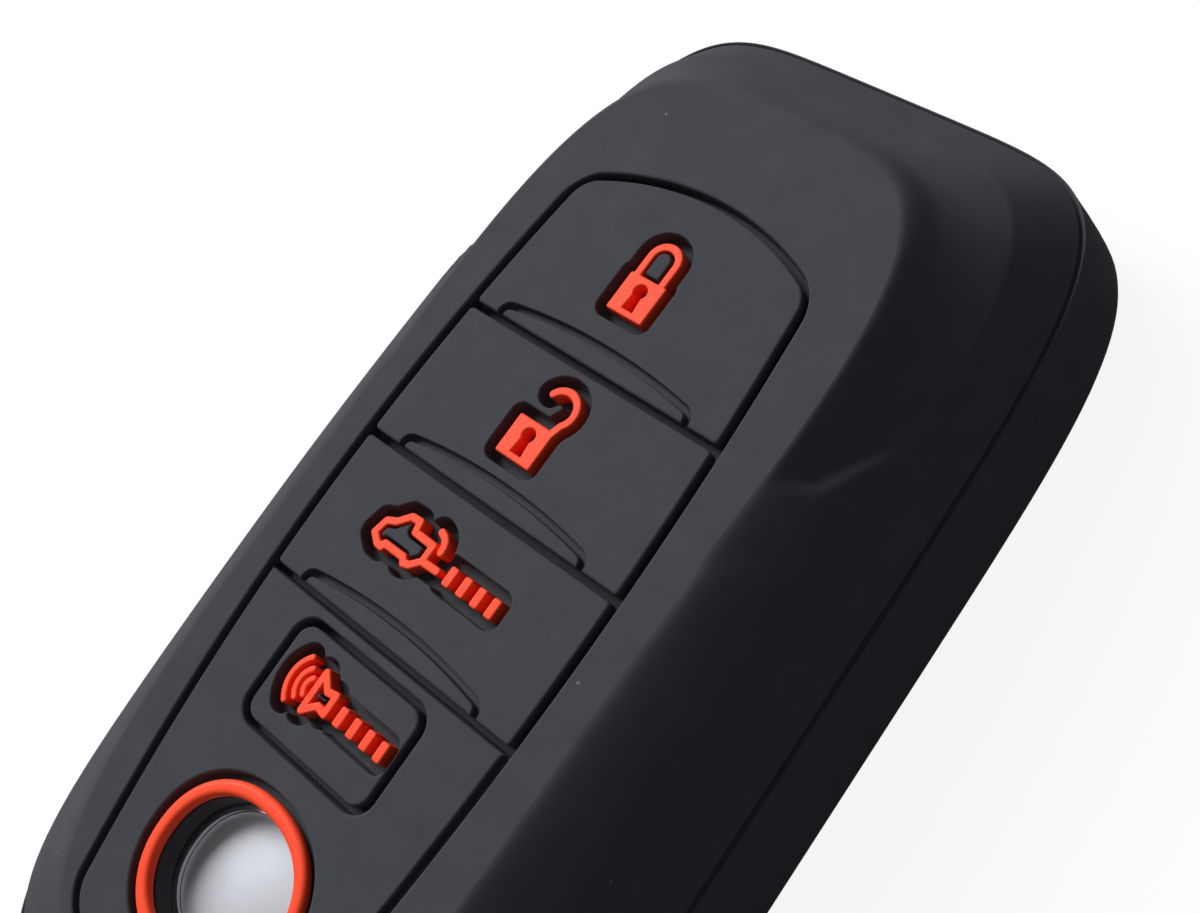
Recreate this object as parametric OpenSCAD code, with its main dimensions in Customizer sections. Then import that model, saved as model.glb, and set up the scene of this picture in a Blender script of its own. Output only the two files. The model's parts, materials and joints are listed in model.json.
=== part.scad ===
// Two-part cover for a car key fob, with the fob inside it.
// The cover lies on its back: +Z is up through the pads, +Y points to the lock end.

/* [Cover] */
// Width of the cover half way along it, low on its sides
cover_w = 49; // [48:0.2:54]
// Length of the cover between its end walls
cover_l = 92.4; // [92:0.2:100]
// Height of the cover from its back to the top of its crown
cover_h = 20; // [20:0.2:23]
// Radius of the long, gentle crown of the face
crown_r = 710; // [500:10:1200]
// Thickness of the side walls, measured sideways
side_wall = 2.4; // [2.2:0.1:2.6]
// Thickness of the face
face_skin = 2.5; // [2.4:0.1:2.8]
// Thickness of the rear shell's back
back_skin = 1.6; // [1.2:0.1:2]
// How far the face edge lies inside that width, on each side
face_in_w = 8.6; // [8.2:0.1:9.2]
// How far the face edge lies inside the length, at each end
face_in_l = 8; // [6.5:0.1:8.6]
// How far the shoulder line lies inside that width
shoulder_in_w = 4.4; // [4:0.1:4.8]
// How far the shoulder line lies inside the length
shoulder_in_l = 4; // [3:0.1:4.2]
// Depth of the shoulder line below the top of the crown
shoulder_drop = 6.6; // [5.8:0.1:7]
// How far the joint line lies inside that width
joint_in_w = 1.9; // [1.6:0.1:2.2]
// How far the joint line lies inside the length
joint_in_l = 0.6; // [0.5:0.1:1.1]
// Depth of the joint between the shells below the top of the crown
joint_drop = 10.9; // [10.4:0.1:11.2]
// How far the rear shell's lip stands proud of the front shell at the joint
lip_proud = 0.35; // [0.2:0.05:0.5]
// Depth of the front shell's tongue inside the rear shell
tongue_l = 1.4; // [1:0.1:1.8]
// Thickness of the tongue
tongue_t = 0.9; // [0.7:0.1:1]
// Radius of the rounded edge round the back
foot_r = 2.4; // [1.6:0.1:3]
// Height of the upright strip above that rounded edge, where the cover is widest
foot_strip_h = 0.2; // [0.2:0.1:2]
// How much narrower the lock end of the sides is than their middle, as a share of their width
taper_share = 0.07; // [0.05:0.01:0.1]
// How much wider the lock end of the face is than its middle, as a share of its width
face_flare_share = 0.03; // [0:0.01:0.06]
// Depth of the scooped bevel, where it is deepest
bevel_depth = 0.7; // [0.4:0.05:1]
// How far the side below the bevel's crease bulges
side_bulge = 1.1; // [0.6:0.05:1.2]
// Where the bevel's crease meets the face edge, from the middle of the cover
bevel_start_y = 8.3; // [4:0.5:14]
// How far the crease climbs towards the lock end on its way to the shoulder
bevel_climb = 15; // [10:0.5:18]
// Width of the opening in the back
back_open_w = 30; // [26:1:32]
// Length of the opening in the back
back_open_l = 58; // [54:1:62]
// Corner radius of the opening in the back
back_open_r = 8; // [4:1:10]

/* [Button panel] */
// Half width of the button panel at its widest
panel_half_w = 12.3; // [11.8:0.05:12.6]
// Radius of the panel's long, bowed sides
panel_side_r = 225; // [200:5:400]
// Place of the panel's widest line along the cover
panel_wide_y = -1.2; // [-3:0.1:3]
// Place of the top of the panel's arched end
panel_top_y = 29.3; // [28.5:0.1:30.5]
// Radius of the panel's arched end
panel_top_r = 22; // [18:0.2:26]
// Radius of the corners where the arch meets the sides
panel_corner_r = 1.3; // [1:0.1:2]
// Place of the panel's lower end
panel_bottom_y = -35.6; // [-36.4:0.1:-35.2]
// Corner radius of the panel's lower end
panel_bottom_r = 3; // [2:0.2:4]
// Place of the groove between the unlock and lift-gate pads
middle_groove_y = 3.3; // [2.8:0.1:4]
// Distance between the grooves that divide the pads
pad_pitch = 11.5; // [11:0.1:11.8]
// Width of the grooves round the pads
groove_w = 0.6; // [0.4:0.05:0.7]
// Depth of the engraved grooves
groove_depth = 0.7; // [0.4:0.1:0.9]
// Depth from the crown to the ledge that closes the grooves
ledge_drop = 1.8; // [1.7:0.05:1.9]
// Width of the ledge under the edge of each pad
ledge_w = 1; // [0.8:0.1:1.3]
// How far a pad moves when it is pressed
pad_travel = 0.5; // [0.3:0.05:0.55]
// Height of the curved ridge line above each dividing groove, at its middle
ridge_rise = 1.9; // [1.4:0.1:2.4]
// Height of the ridge line above the dividing groove, at its ends
ridge_end_rise = 1.1; // [0.8:0.1:1.3]
// Half width of the ridge line
ridge_half_w = 8.8; // [8:0.1:9.8]
// Width of the panic pad
panic_w = 12.9; // [12:0.1:13.4]
// Length of the panic pad along the cover
panic_l = 8; // [7.6:0.1:8.2]
// Gap between the lowest dividing groove and the panic pad
panic_gap = 1.3; // [1.2:0.1:1.6]
// Corner radius of the panic pad
panic_r = 1.5; // [1:0.1:2]

/* [Marks] */
// Depth of the recess that each mark stands in
mark_depth = 1.3; // [1:0.05:1.4]
// Width of the gap between a mark and its recess
mark_gap = 0.75; // [0.5:0.05:0.8]
// Width of the lines that the marks are drawn with
stroke = 0.6; // [0.45:0.05:0.7]
// Width of the body of the padlock marks
padlock_w = 3.3; // [3:0.1:3.6]
// Height of the body of the padlock marks
padlock_h = 3.1; // [2.8:0.1:3.4]
// Height of the shackle of the closed padlock
shackle_h = 3; // [2.6:0.1:3.2]
// Length of the car mark
car_l = 4.8; // [4.4:0.1:5]
// Length of a row of dashes
dash_row_l = 4.9; // [4.4:0.1:5.2]
// Height of the dashes
dash_h = 1.5; // [1.2:0.1:1.7]
// Height of the bell of the horn mark
horn_h = 3; // [2.7:0.1:3.2]

/* [Window] */
// Half width of the bead round the window
bead_half_w = 7; // [6.8:0.05:7.4]
// Half length of the bead round the window
bead_half_l = 6.4; // [6.2:0.05:6.8]
// Thickness of the bead
bead_t = 1.1; // [0.9:0.05:1.3]
// Distance from the lowest dividing groove to the middle of the window
window_gap = 18.4; // [18.2:0.1:18.8]
// Width of the dark gap round the bead
bead_gap = 0.5; // [0.4:0.05:0.8]
// Depth of the seat that the bead stands on
bead_seat = 0.9; // [0.7:0.1:1.2]

/* [Fob] */
// Clearance between the fob and the cover
fob_gap = 0.35; // [0.3:0.05:0.5]
// Thickness of the fob's own housing
fob_wall = 1.2; // [1:0.1:1.3]
// Width of the three large keys
key_w = 12; // [9:0.5:13]
// Length of the three large keys
key_l = 6; // [4.5:0.5:6.5]
// Width of the panic key
panic_key_w = 8; // [6:0.5:9]
// Length of the panic key
panic_key_l = 4.4; // [3.6:0.2:4.6]
// Gap between the circuit board and the fob's wall
board_gap = 3.6; // [3.4:0.1:5]
// Length of the circuit board
board_l = 68; // [64:1:70]
// Side of a tact switch
switch_w = 4; // [3:0.5:4.5]
// Diameter of the coin cell
cell_d = 20; // [18:1:20]
// Thickness of the coin cell, as a share of the height left for the fob's layers
cell_share = 0.37; // [0.3:0.01:0.37]
// Thickness of the circuit board, as a share of the height left for the fob's layers
board_share = 0.09; // [0.07:0.01:0.1]
// Height of a tact switch without its button, as a share of the height left for the fob's layers
switch_share = 0.17; // [0.13:0.01:0.18]

/* [Emergency key] */
// Length of the blade
blade_l = 46; // [40:1:50]
// Width of the blade
blade_w = 8; // [7:0.2:8.4]
// Thickness of the blade, as a share of the height left for the fob's layers
blade_share = 0.25; // [0.2:0.01:0.26]
// How far the key head stands out of the cover
head_out = 7; // [6.6:0.2:9]
// Width of the key head
head_w = 13; // [12:0.5:14]
// Thickness of the key head, as a share of the height left for the fob's layers
head_share = 0.347; // [0.32:0.001:0.36]
// Radius of the hole for the key ring
ring_hole_r = 2.5; // [2:0.1:2.6]

/* [Hidden] */

// Facets of round shapes and of long shallow arcs, and flats along the crown
$fn = 48;
arc_fn = 720;
crown_steps = 24;
// Columns of facets round the lofted bodies
columns = 72;
// Overrun of every cut past the face that it leaves
over = 1;
// Smallest gap between pieces that only just clear each other
slip = 0.1;
// Running clearance of pieces that slide past each other
run = 0.3;

// Squareness of the plan outlines: 2 is an ellipse, more is squarer
face_square = 4.2;
side_square = 6;
window_square = 2.17;

// Depth of the face edge below the face, and the facets that round it
edge_drop = 0.5;
face_shares = [0.35, 0.7, 0.95];
crown_shares = [0.35, 0.7, 1];
edge_steps = 3;
edge_end_share = 0.16;
side_shares = [0.35, 0.65, 1];
// Width of the crease at the foot of the bevel
crease_w = 3.5;
// Depth of the bevel at the face edge, as a share of its greatest depth
bevel_edge_share = 0.5;

half_w = cover_w / 2;
half_l = cover_l / 2;
shoulder_z = cover_h - shoulder_drop;
joint_z = cover_h - joint_drop;
widest_h = foot_r + foot_strip_h;
// The key head stands out at the lower end, so the cover lies off the middle of the whole
body_shift = head_out / 2;

// The panel lies a little off the middle of the cover, and the window and the ridge lines off its own middle
panel_x = -0.5;
window_x = -0.2;
ridge_x = -0.25;
groove_1_y = middle_groove_y + pad_pitch;
groove_3_y = middle_groove_y - pad_pitch;
window_y = groove_3_y - window_gap;
panic_x = -0.5;
panic_y = groove_3_y - panic_gap - panic_l / 2;
// The panic pad is small, so the ledge under it is narrow
panic_ledge_share = 0.6;
lock_y = groove_1_y + pad_pitch / 2;
unlock_y = middle_groove_y + pad_pitch / 2;
liftgate_y = groove_3_y + pad_pitch / 2;

// Levels of the pads: the ledge, the pad's flange above it, its block, its nub and the fob's key
ledge_z = cover_h - ledge_drop;
skin_z = cover_h - face_skin;
flange_z = ledge_z + pad_travel + 1.5 * slip;
block_z = skin_z + run;
nub_z = skin_z - slip;
key_top_z = nub_z - slip;
nub_share = 0.6;

// The fob's face and the inside of its housing, as depths below the crown
fob_drop = face_skin + run;
fob_skin_drop = fob_drop + fob_wall;
fob_in = side_wall + fob_gap;
board_w = 2 * (half_w - joint_in_w - fob_in - fob_wall - board_gap);
fob_back_z = back_skin + fob_gap;
fob_floor_z = fob_back_z + fob_wall;
fob_split_z = joint_z - 1.5 * fob_wall;
// Rounding of the fob's back edge and of the rear shell round it
back_round = 2.4;
back_round_shares = [[0, 1], [0.3, 0.3], [1, 0]];

// Levels inside the fob
tunnel_roof_t = 0.8;
blade_clear = 0.25;
contact_t = 0.25;
switch_button_h = 0.5;
key_flange_t = 0.8;
key_flange_z = cover_h - fob_skin_drop - crown_sag(lock_y) - run - key_flange_t;
// Height that is left for the layers between the fob's floor and its keys once their gaps are taken off
layer_gaps = run + blade_clear + tunnel_roof_t + contact_t + switch_button_h + pad_travel + 3 * slip;
layer_room = key_flange_z - fob_floor_z - layer_gaps;
blade_t = layer_room * blade_share;
head_t = layer_room * head_share;
cell_t = layer_room * cell_share;
board_t = layer_room * board_share;
switch_h = layer_room * switch_share;
blade_z = fob_floor_z + run;
tunnel_top_z = blade_z + blade_t + blade_clear + tunnel_roof_t;
cell_z = tunnel_top_z + slip;
board_z = cell_z + cell_t + contact_t + slip;
board_top_z = board_z + board_t;
switch_top_z = board_top_z + switch_h + switch_button_h;
plunger_z = switch_top_z + pad_travel + slip;
key_flange_w = 0.8;
key_r = 1.6;

// Half sizes of the cover's side at a depth below the crown, and its squareness there
function side_share(drop) = (drop - edge_drop) / (shoulder_drop - edge_drop);
function joint_share(drop) = (drop - shoulder_drop) / (joint_drop - shoulder_drop);
function side_in(drop, face_in, shoulder_in, joint_in) =
    drop < shoulder_drop
        ? face_in + (shoulder_in - face_in) * side_share(drop)
        : shoulder_in + (joint_in - shoulder_in) * joint_share(drop);
function side_a(drop) = half_w - side_in(drop, face_in_w, shoulder_in_w, joint_in_w);
function side_b(drop) = half_l - side_in(drop, face_in_l, shoulder_in_l, joint_in_l);
function side_n(drop) = min(side_square, face_square + (side_square - face_square) * side_share(drop));

// Sag and height of the crowned face at a place along the cover
function crown_sag(y) = pow(y - middle_groove_y, 2) / (2 * crown_r);
function face_z(y) = cover_h - crown_sag(y);

// A point of a squared ellipse with half sizes a and b, in the direction of angle t of the cover, narrowed
// towards the lock end by a share of its width
function oval_point(a, b, n, t, dir_a = half_w, dir_b = half_l, taper = 0) =
    let (u = dir_a * cos(t), v = dir_b * sin(t))
    let (k = pow(pow(abs(u) / a, n) + pow(abs(v) / b, n), -1 / n))
    [u * k * (1 - taper * v * k / half_l), v * k];
// Taper of the cover's outline at a depth below the crown
function side_taper(drop) = taper_share - (taper_share + face_flare_share) * max(0, 1 - side_share(drop));
function column_angle(i) = 360 * i / columns;

// A level of a loft is [half width, half length, squareness, height, 1 if it follows the crown, taper]
function level_ring(level) = [
    for (i = [0 : columns - 1])
        let (p = oval_point(level[0], level[1], level[2], column_angle(i), taper = level[5]))
        [p.x, p.y, level[3] - level[4] * crown_sag(p.y)]
];
function level_middle(level) = [0, 0, level[3] - level[4] * crown_sag(0)];

// Triangles between rings of equal length, and fans over the first and the last ring
function band_faces(rings) = [
    for (r = [0 : rings - 2])
        for (i = [0 : columns - 1])
            let (j = (i + 1) % columns)
            let (a = r * columns + i, b = r * columns + j, c = a + columns, d = b + columns)
            each [[a, b, d], [a, d, c]]
];
function fan_faces(rings) = let (top = rings * columns, last = (rings - 1) * columns) [
    for (i = [0 : columns - 1])
        let (j = (i + 1) % columns)
        each [[top, j, i], [top + 1, last + i, last + j]]
];
// Closed skin over rings, listed so that the solid lies on the right of the way from one to the next:
// down the outside, across a rim and up the inside of a cap, or up the inside and down the outside of a tray
module skin_over(rings, first_middle, last_middle) {
    points = concat([for (ring = rings) each ring], [first_middle, last_middle]);
    polyhedron(points, concat(band_faces(len(rings)), fan_faces(len(rings))));
}
module loft(levels) {
    rings = [for (level = levels) level_ring(level)];
    skin_over(rings, level_middle(levels[0]), level_middle(levels[len(levels) - 1]));
}
function reversed(list) = [for (k = [len(list) - 1 : -1 : 0]) list[k]];

// The front shell's outside: crowned face, rounded edge, scooped bevel round the lock end, side
function smooth_share(v) = let (c = max(0, min(1, v))) c * c * (3 - 2 * c);
function crease_y(s) = bevel_start_y + bevel_climb * sqrt(s);
function scoop_share(y, s) = smooth_share((y - crease_y(s)) / crease_w + 0.5);
// How far the side stands out from a straight line between the face edge and the shoulder
function bevel_out(s) = -bevel_depth * (1 - s) * (bevel_edge_share + (4 - 2 * bevel_edge_share) * s);
function bulge_out(s) = 4 * side_bulge * s * (1 - s);
function side_out(y, s) = let (k = scoop_share(y, s)) bevel_out(s) * k + bulge_out(s) * (1 - k);
function unit_xy(p) = [p.x, p.y, 0] / norm([p.x, p.y]);
function mix(p, q, s) = p * (1 - s) + q * s;
function edge_corner(t) =
    let (p = oval_point(side_a(edge_drop), side_b(edge_drop), face_square, t, taper = side_taper(edge_drop)))
    [p.x, p.y, face_z(p.y) - edge_drop];
function shoulder_corner(t) =
    let (p = oval_point(side_a(shoulder_drop), side_b(shoulder_drop), side_square, t, taper = taper_share))
    [p.x, p.y, shoulder_z];
function joint_corner(t) =
    let (p = oval_point(side_a(joint_drop), side_b(joint_drop), side_square, t, taper = taper_share))
    [p.x, p.y, joint_z];
function side_point(t, s) =
    let (p = mix(edge_corner(t), shoulder_corner(t), s))
    p + unit_xy(p) * side_out(p.y, s);
function face_point(t, share) = let (p = side_point(t, 0) * share) [p.x, p.y, face_z(p.y)];
function edge_point(t, u) =
    let (corner = side_point(t, 0))
    let (from = face_point(t, face_shares[len(face_shares) - 1]), to = side_point(t, edge_end_share))
    mix(mix(from, corner, u), mix(corner, to, u), u);
function front_rings() = let (turn = [for (i = [0 : columns - 1]) column_angle(i)]) concat(
    [for (share = face_shares) [for (t = turn) face_point(t, share)]],
    [for (k = [1 : edge_steps]) [for (t = turn) edge_point(t, k / edge_steps)]],
    [for (s = side_shares) [for (t = turn) side_point(t, s)]],
    [[for (t = turn) joint_corner(t)]]
);

// Levels of a cap inside the cover's side, from a depth below the crown down to a floor
function side_level(inset, drop, z) = [side_a(drop) - inset, side_b(drop) - inset, side_square, z, 0, taper_share];
function cap_levels(inset, drop, floor_z) =
    let (a = side_a(drop) - inset, b = side_b(drop) - inset, n = side_n(drop))
    concat(
        [for (share = crown_shares) [a * share, b * share, n, cover_h - drop, 1, side_taper(drop)]],
        [
            side_level(inset, shoulder_drop, shoulder_z),
            side_level(inset, joint_drop, joint_z),
            side_level(inset, joint_drop, floor_z),
        ]
    );
// Levels of an upright tray with a rounded edge at its back, from the top down
function tray_levels(inset, top_z, back_z) = concat(
    [side_level(inset, joint_drop, top_z)],
    [for (s = back_round_shares) side_level(inset + back_round * s[0], joint_drop, back_z + back_round * s[1])]
);

module at_body() {
    translate([0, body_shift, 0]) children();
}
module at_panel() {
    translate([panel_x, body_shift, 0]) children();
}
module at_window() {
    translate([window_x, window_y, 0]) children();
}
// Everything below the crowned face, lowered by a drop, as an arched outline drawn across the cover
module under_face(drop = 0) {
    crown_points = [
        for (k = [0 : crown_steps])
            let (y = half_l * (1 - 2 * k / crown_steps))
            [y, face_z(y) - drop]
    ];
    rotate([90, 0, 90]) linear_extrude(cover_w, center = true)
        polygon(concat([[-half_l, 0], [half_l, 0]], crown_points));
}
// An outline raised from one height to another
module raise(from_z, to_z) {
    translate([0, 0, from_z]) linear_extrude(to_z - from_z) children();
}
module rounded_box_2d(w, l, r) {
    square([w - 2 * r, l], center = true);
    square([w, l - 2 * r], center = true);
    for (x = [-1, 1])
        for (y = [-1, 1])
            translate([x * (w / 2 - r), y * (l / 2 - r)]) circle(r);
}
module oval_2d(a, b) {
    polygon([for (i = [0 : $fn - 1]) oval_point(a, b, window_square, 360 * i / $fn, a, b)]);
}
// Everything across the cover between two places along it
module band(low_y, high_y) {
    translate([-half_w, low_y]) square([cover_w, high_y - low_y]);
}

// Outline of the button panel, grown by an amount: bowed sides, an arched top, rounded corners
function panel_half(y) = panel_half_w - panel_side_r + sqrt(pow(panel_side_r, 2) - pow(y - panel_wide_y, 2));
module panel_outline(grow) {
    foot_x = panel_half(panel_bottom_y + panel_bottom_r) - panel_bottom_r;
    foot_y = panel_bottom_y + panel_bottom_r;
    arch_y = panel_top_y - panel_top_r;
    offset(r = panel_corner_r + grow) offset(delta = -panel_corner_r) intersection() {
        translate([panel_half_w - panel_side_r, panel_wide_y]) circle(panel_side_r, $fn = arc_fn);
        translate([panel_side_r - panel_half_w, panel_wide_y]) circle(panel_side_r, $fn = arc_fn);
        union() {
            translate([0, arch_y]) circle(panel_top_r, $fn = arc_fn / 4);
            band(foot_y, arch_y);
            translate([-foot_x, panel_bottom_y]) square([2 * foot_x, arch_y - panel_bottom_y]);
            for (x = [-1, 1])
                translate([x * foot_x, foot_y]) circle(panel_bottom_r);
        }
    }
}
// The part of the panel between two dividing grooves, drawn in from them by an amount
module panel_part(low_y, high_y, grow) {
    intersection() {
        panel_outline(grow);
        band(low_y - grow, high_y + grow);
    }
}
module panic_outline(grow) {
    translate([panic_x, panic_y]) rounded_box_2d(panic_w + 2 * grow, panic_l + 2 * grow, panic_r + grow);
}
// Grooves that bound each large pad, from the arched end down
PAD_LOW = [groove_1_y, middle_groove_y, groove_3_y];
PAD_HIGH = [panel_top_y + over, groove_1_y, middle_groove_y];

// Front shell: the face and its sides, open below, with a tongue and a ledge under the edges of the pads
module front_shell() {
    tip_z = joint_z - tongue_l;
    inside = concat(
        [
            side_level(side_wall - tongue_t, joint_drop, joint_z),
            side_level(side_wall - tongue_t, joint_drop, tip_z),
        ],
        reversed(cap_levels(side_wall, face_skin, tip_z))
    );
    rings = concat(front_rings(), [for (level = inside) level_ring(level)]);
    color("#3c3e42") difference() {
        at_body() skin_over(rings, [0, 0, face_z(0)], level_middle(inside[len(inside) - 1]));
        at_panel() {
            raise(ledge_z, cover_h + over) pad_openings_2d();
            raise(0, cover_h + over) ledge_openings_2d();
            raise(cover_h - groove_depth - crown_sag(panel_bottom_y), cover_h + over) lower_groove_2d();
            at_window() {
                raise(cover_h - bead_seat - crown_sag(window_y), cover_h + over)
                    oval_2d(bead_half_w + bead_gap, bead_half_l + bead_gap);
                raise(0, cover_h + over) oval_2d(bead_half_w - bead_t, bead_half_l - bead_t);
            }
        }
    }
}
module pad_openings_2d() {
    panel_part(groove_3_y, panel_top_y + over, groove_w / 2);
    panic_outline(groove_w / 2);
}
module ledge_openings_2d() {
    for (i = [0 : len(PAD_LOW) - 1])
        panel_part(PAD_LOW[i], PAD_HIGH[i], groove_w / 2 - ledge_w);
    panic_outline(groove_w / 2 - panic_ledge_share * ledge_w);
}
module lower_groove_2d() {
    intersection() {
        difference() {
            panel_outline(groove_w / 2);
            panel_outline(-groove_w / 2);
        }
        band(-half_l, groove_3_y);
    }
}

// Rear shell: the lower wall with its proud lip, a rounded foot and an opening in the back
module rear_shell() {
    lip_in = -lip_proud;
    half_lip_in = -lip_proud / 2;
    rebate_in = side_wall - tongue_t - 2 * slip;
    rebate_z = joint_z - tongue_l - 2 * slip;
    middle_in = (joint_in_w + lip_in) / 2 - joint_in_w;
    outside = concat(
        [
            side_level(half_lip_in, joint_drop, joint_z),
            side_level(lip_in, joint_drop, joint_z + half_lip_in),
            [half_w + middle_in / 2, half_l + lip_in, side_square, (joint_z + widest_h) / 2, 0, taper_share],
            [half_w, half_l, side_square, widest_h, 0, taper_share],
        ],
        [for (t = foot_angles) let (cut = foot_r * (1 - cos(t)))
            [half_w - cut, half_l - cut, side_square, foot_r * (1 - sin(t)), 0, taper_share]
        ]
    );
    inside = reversed(tray_levels(side_wall, rebate_z, back_skin));
    rebate = [side_level(rebate_in, joint_drop, rebate_z), side_level(rebate_in, joint_drop, joint_z)];
    color("#3a3c40") at_body() difference() {
        loft(concat(inside, rebate, outside));
        raise(-over, back_skin + over) rounded_box_2d(back_open_w, back_open_l, back_open_r);
        raise(head_z - 2 * run, joint_z + over)
            translate([0, -half_l]) square([head_w + 4 * run, half_l], center = true);
    }
}
foot_angles = [0, 30, 60, 90];

// Bead round the window: an oval ring with a rounded top that stands on its seat
module window_bead() {
    seat_z = cover_h - bead_seat - crown_sag(window_y);
    top_z = face_z(window_y) + slip;
    sections = [[0, seat_z], [0, top_z - bead_t / 3], [0.2, top_z - 0.1 * bead_t], [0.5, top_z]];
    color("#ff4a2c") at_panel() at_window() bead_ring(sections);
}
// A ring whose section is a half profile, mirrored about the middle of its thickness
module bead_ring(half_section) {
    section = concat(
        [for (p = half_section) [p.x, p.y]],
        [for (k = [len(half_section) - 2 : -1 : 0]) [1 - half_section[k].x, half_section[k].y]]
    );
    m = len(section);
    points = [
        for (i = [0 : $fn - 1])
            for (s = section)
                let (cut = bead_t * s.x)
                let (p = oval_point(
                    bead_half_w - cut, bead_half_l - cut, window_square, 360 * i / $fn, bead_half_w, bead_half_l
                ))
                [p.x, p.y, s.y]
    ];
    polyhedron(points, [
        for (i = [0 : $fn - 1])
            for (k = [0 : m - 1])
                let (a = i * m + k, b = i * m + (k + 1) % m)
                let (c = ((i + 1) % $fn) * m + k, d = ((i + 1) % $fn) * m + (k + 1) % m)
                each [[a, b, d], [a, d, c]]
    ]);
}

// A pad: a flange over the ledge, a block through it, a nub that presses the fob's key
module pad(centre_y, nub_w, nub_l) {
    intersection() {
        under_face();
        union() {
            raise(flange_z, cover_h + over) children(0);
            raise(block_z, flange_z + slip) children(1);
            raise(nub_z, block_z + slip)
                translate([0, centre_y]) square([nub_w * nub_share, nub_l * nub_share], center = true);
        }
    }
}
module large_pad(i, centre_y) {
    difference() {
        pad(centre_y, key_w, key_l) {
            panel_part(PAD_LOW[i], PAD_HIGH[i], -groove_w / 2);
            panel_part(PAD_LOW[i], PAD_HIGH[i], groove_w / 2 - ledge_w - run);
        }
        raise(face_z(PAD_LOW[i]) - groove_depth, cover_h + over) translate([ridge_x, PAD_LOW[i]]) ridge_line_2d();
        raise(mark_floor_z(centre_y), cover_h + over) offset(r = mark_gap) children();
    }
}
function mark_floor_z(y) = face_z(y) - mark_depth;

// Curved line above a dividing groove, closed down to the groove at its ends
module ridge_line_2d() {
    bow = ridge_rise - ridge_end_rise;
    bow_r = (pow(ridge_half_w, 2) + pow(bow, 2)) / (2 * bow);
    intersection() {
        translate([0, ridge_rise - bow_r]) difference() {
            circle(bow_r + groove_w / 2, $fn = arc_fn);
            circle(bow_r - groove_w / 2, $fn = arc_fn);
        }
        translate([-ridge_half_w, 0]) square([2 * ridge_half_w, ridge_rise + groove_w]);
    }
    for (x = [-1, 1])
        translate([x * (ridge_half_w - groove_w / 2), ridge_end_rise / 2])
            square([groove_w, ridge_end_rise + groove_w], center = true);
}

module lock_pad() {
    color("#414347") at_panel() large_pad(0, lock_y) lock_mark_2d();
}
module unlock_pad() {
    color("#414347") at_panel() large_pad(1, unlock_y) unlock_mark_2d();
}
module liftgate_pad() {
    color("#414347") at_panel() large_pad(2, liftgate_y) {
        union() {
            liftgate_mark_2d();
            liftgate_dashes_2d();
        }
    }
}
module panic_pad() {
    color("#414347") at_panel() difference() {
        pad(panic_y, panic_key_w, panic_key_l) {
            panic_outline(-groove_w / 2);
            panic_outline(groove_w / 2 - panic_ledge_share * ledge_w - run);
        }
        raise(mark_floor_z(panic_y), cover_h + over) offset(r = mark_gap) {
            panic_mark_2d();
            panic_dashes_2d();
        }
    }
}

// A mark stands on the floor of its recess, flush with the face
module mark(centre_y) {
    color("#ff4a2c") at_panel() intersection() {
        under_face(slip / 2);
        raise(mark_floor_z(centre_y), cover_h + over) children();
    }
}
module lock_mark() {
    mark(lock_y) lock_mark_2d();
}
module unlock_mark() {
    mark(unlock_y) unlock_mark_2d();
}
module liftgate_mark() {
    mark(liftgate_y) liftgate_mark_2d();
}
module liftgate_dashes() {
    mark(liftgate_y) liftgate_dashes_2d();
}
module panic_mark() {
    mark(panic_y) panic_mark_2d();
}
module panic_dashes() {
    mark(panic_y) panic_dashes_2d();
}

// Points along an arc, and a line of even width drawn through points
arc_steps = 16;
function arc_points(r, from, to) = [
    for (k = [0 : arc_steps]) let (t = from + (to - from) * k / arc_steps) r * [cos(t), sin(t)]
];
function line_normal(points, k) =
    let (d = points[min(k + 1, len(points) - 1)] - points[max(k - 1, 0)])
    [-d.y, d.x] / norm(d);
module line_2d(points, w = stroke) {
    last = len(points) - 1;
    polygon(concat(
        [for (k = [0 : last]) points[k] - line_normal(points, k) * w / 2],
        [for (k = [last : -1 : 0]) points[k] + line_normal(points, k) * w / 2]
    ));
    translate(points[0]) circle(w / 2);
    translate(points[last]) circle(w / 2);
}
module closed_line_2d(points) {
    difference() {
        offset(r = stroke / 2) polygon(points);
        offset(delta = -stroke / 2) polygon(points);
    }
}

// Padlock body with its keyhole, drawn about the middle of its lower edge
keyhole_r = 0.5;
keyhole_waist_w = 0.6;
keyhole_foot_w = 0.9;
keyhole_top_share = 0.66;
keyhole_foot_share = 0.16;
module padlock_body_2d() {
    waist = keyhole_waist_w / 2;
    foot = keyhole_foot_w / 2;
    top_y = padlock_h * keyhole_top_share;
    foot_y = padlock_h * keyhole_foot_share;
    difference() {
        translate([0, padlock_h / 2]) rounded_box_2d(padlock_w, padlock_h, stroke / 4);
        translate([0, top_y]) circle(keyhole_r);
        polygon([[-foot, foot_y], [foot, foot_y], [waist, top_y], [-waist, top_y]]);
    }
}
// Places of the padlocks from the groove below each, and of their shackles
lock_place = [-0.48, 4.5];
unlock_place = [-0.8, 3.68];
module lock_mark_2d() {
    shackle_r = padlock_w / 2 - 0.85 * stroke;
    leg = shackle_h - shackle_r - stroke / 2;
    translate([lock_place.x, groove_1_y + lock_place.y]) {
        padlock_body_2d();
        translate([0, padlock_h + leg])
            line_2d(concat([[shackle_r, -leg]], arc_points(shackle_r, 0, 180), [[-shackle_r, -leg]]));
    }
}
hook_r_share = 0.4;
hook_place_shares = [0.22, 1.41];
module unlock_mark_2d() {
    hook_at = padlock_w * hook_place_shares;
    foot_at = [padlock_w / 2 - stroke / 2, padlock_h - stroke / 2];
    translate([unlock_place.x, middle_groove_y + unlock_place.y]) {
        padlock_body_2d();
        line_2d(concat([foot_at], [for (p = arc_points(padlock_w * hook_r_share, -45, 150)) p + hook_at]));
    }
}

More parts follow.
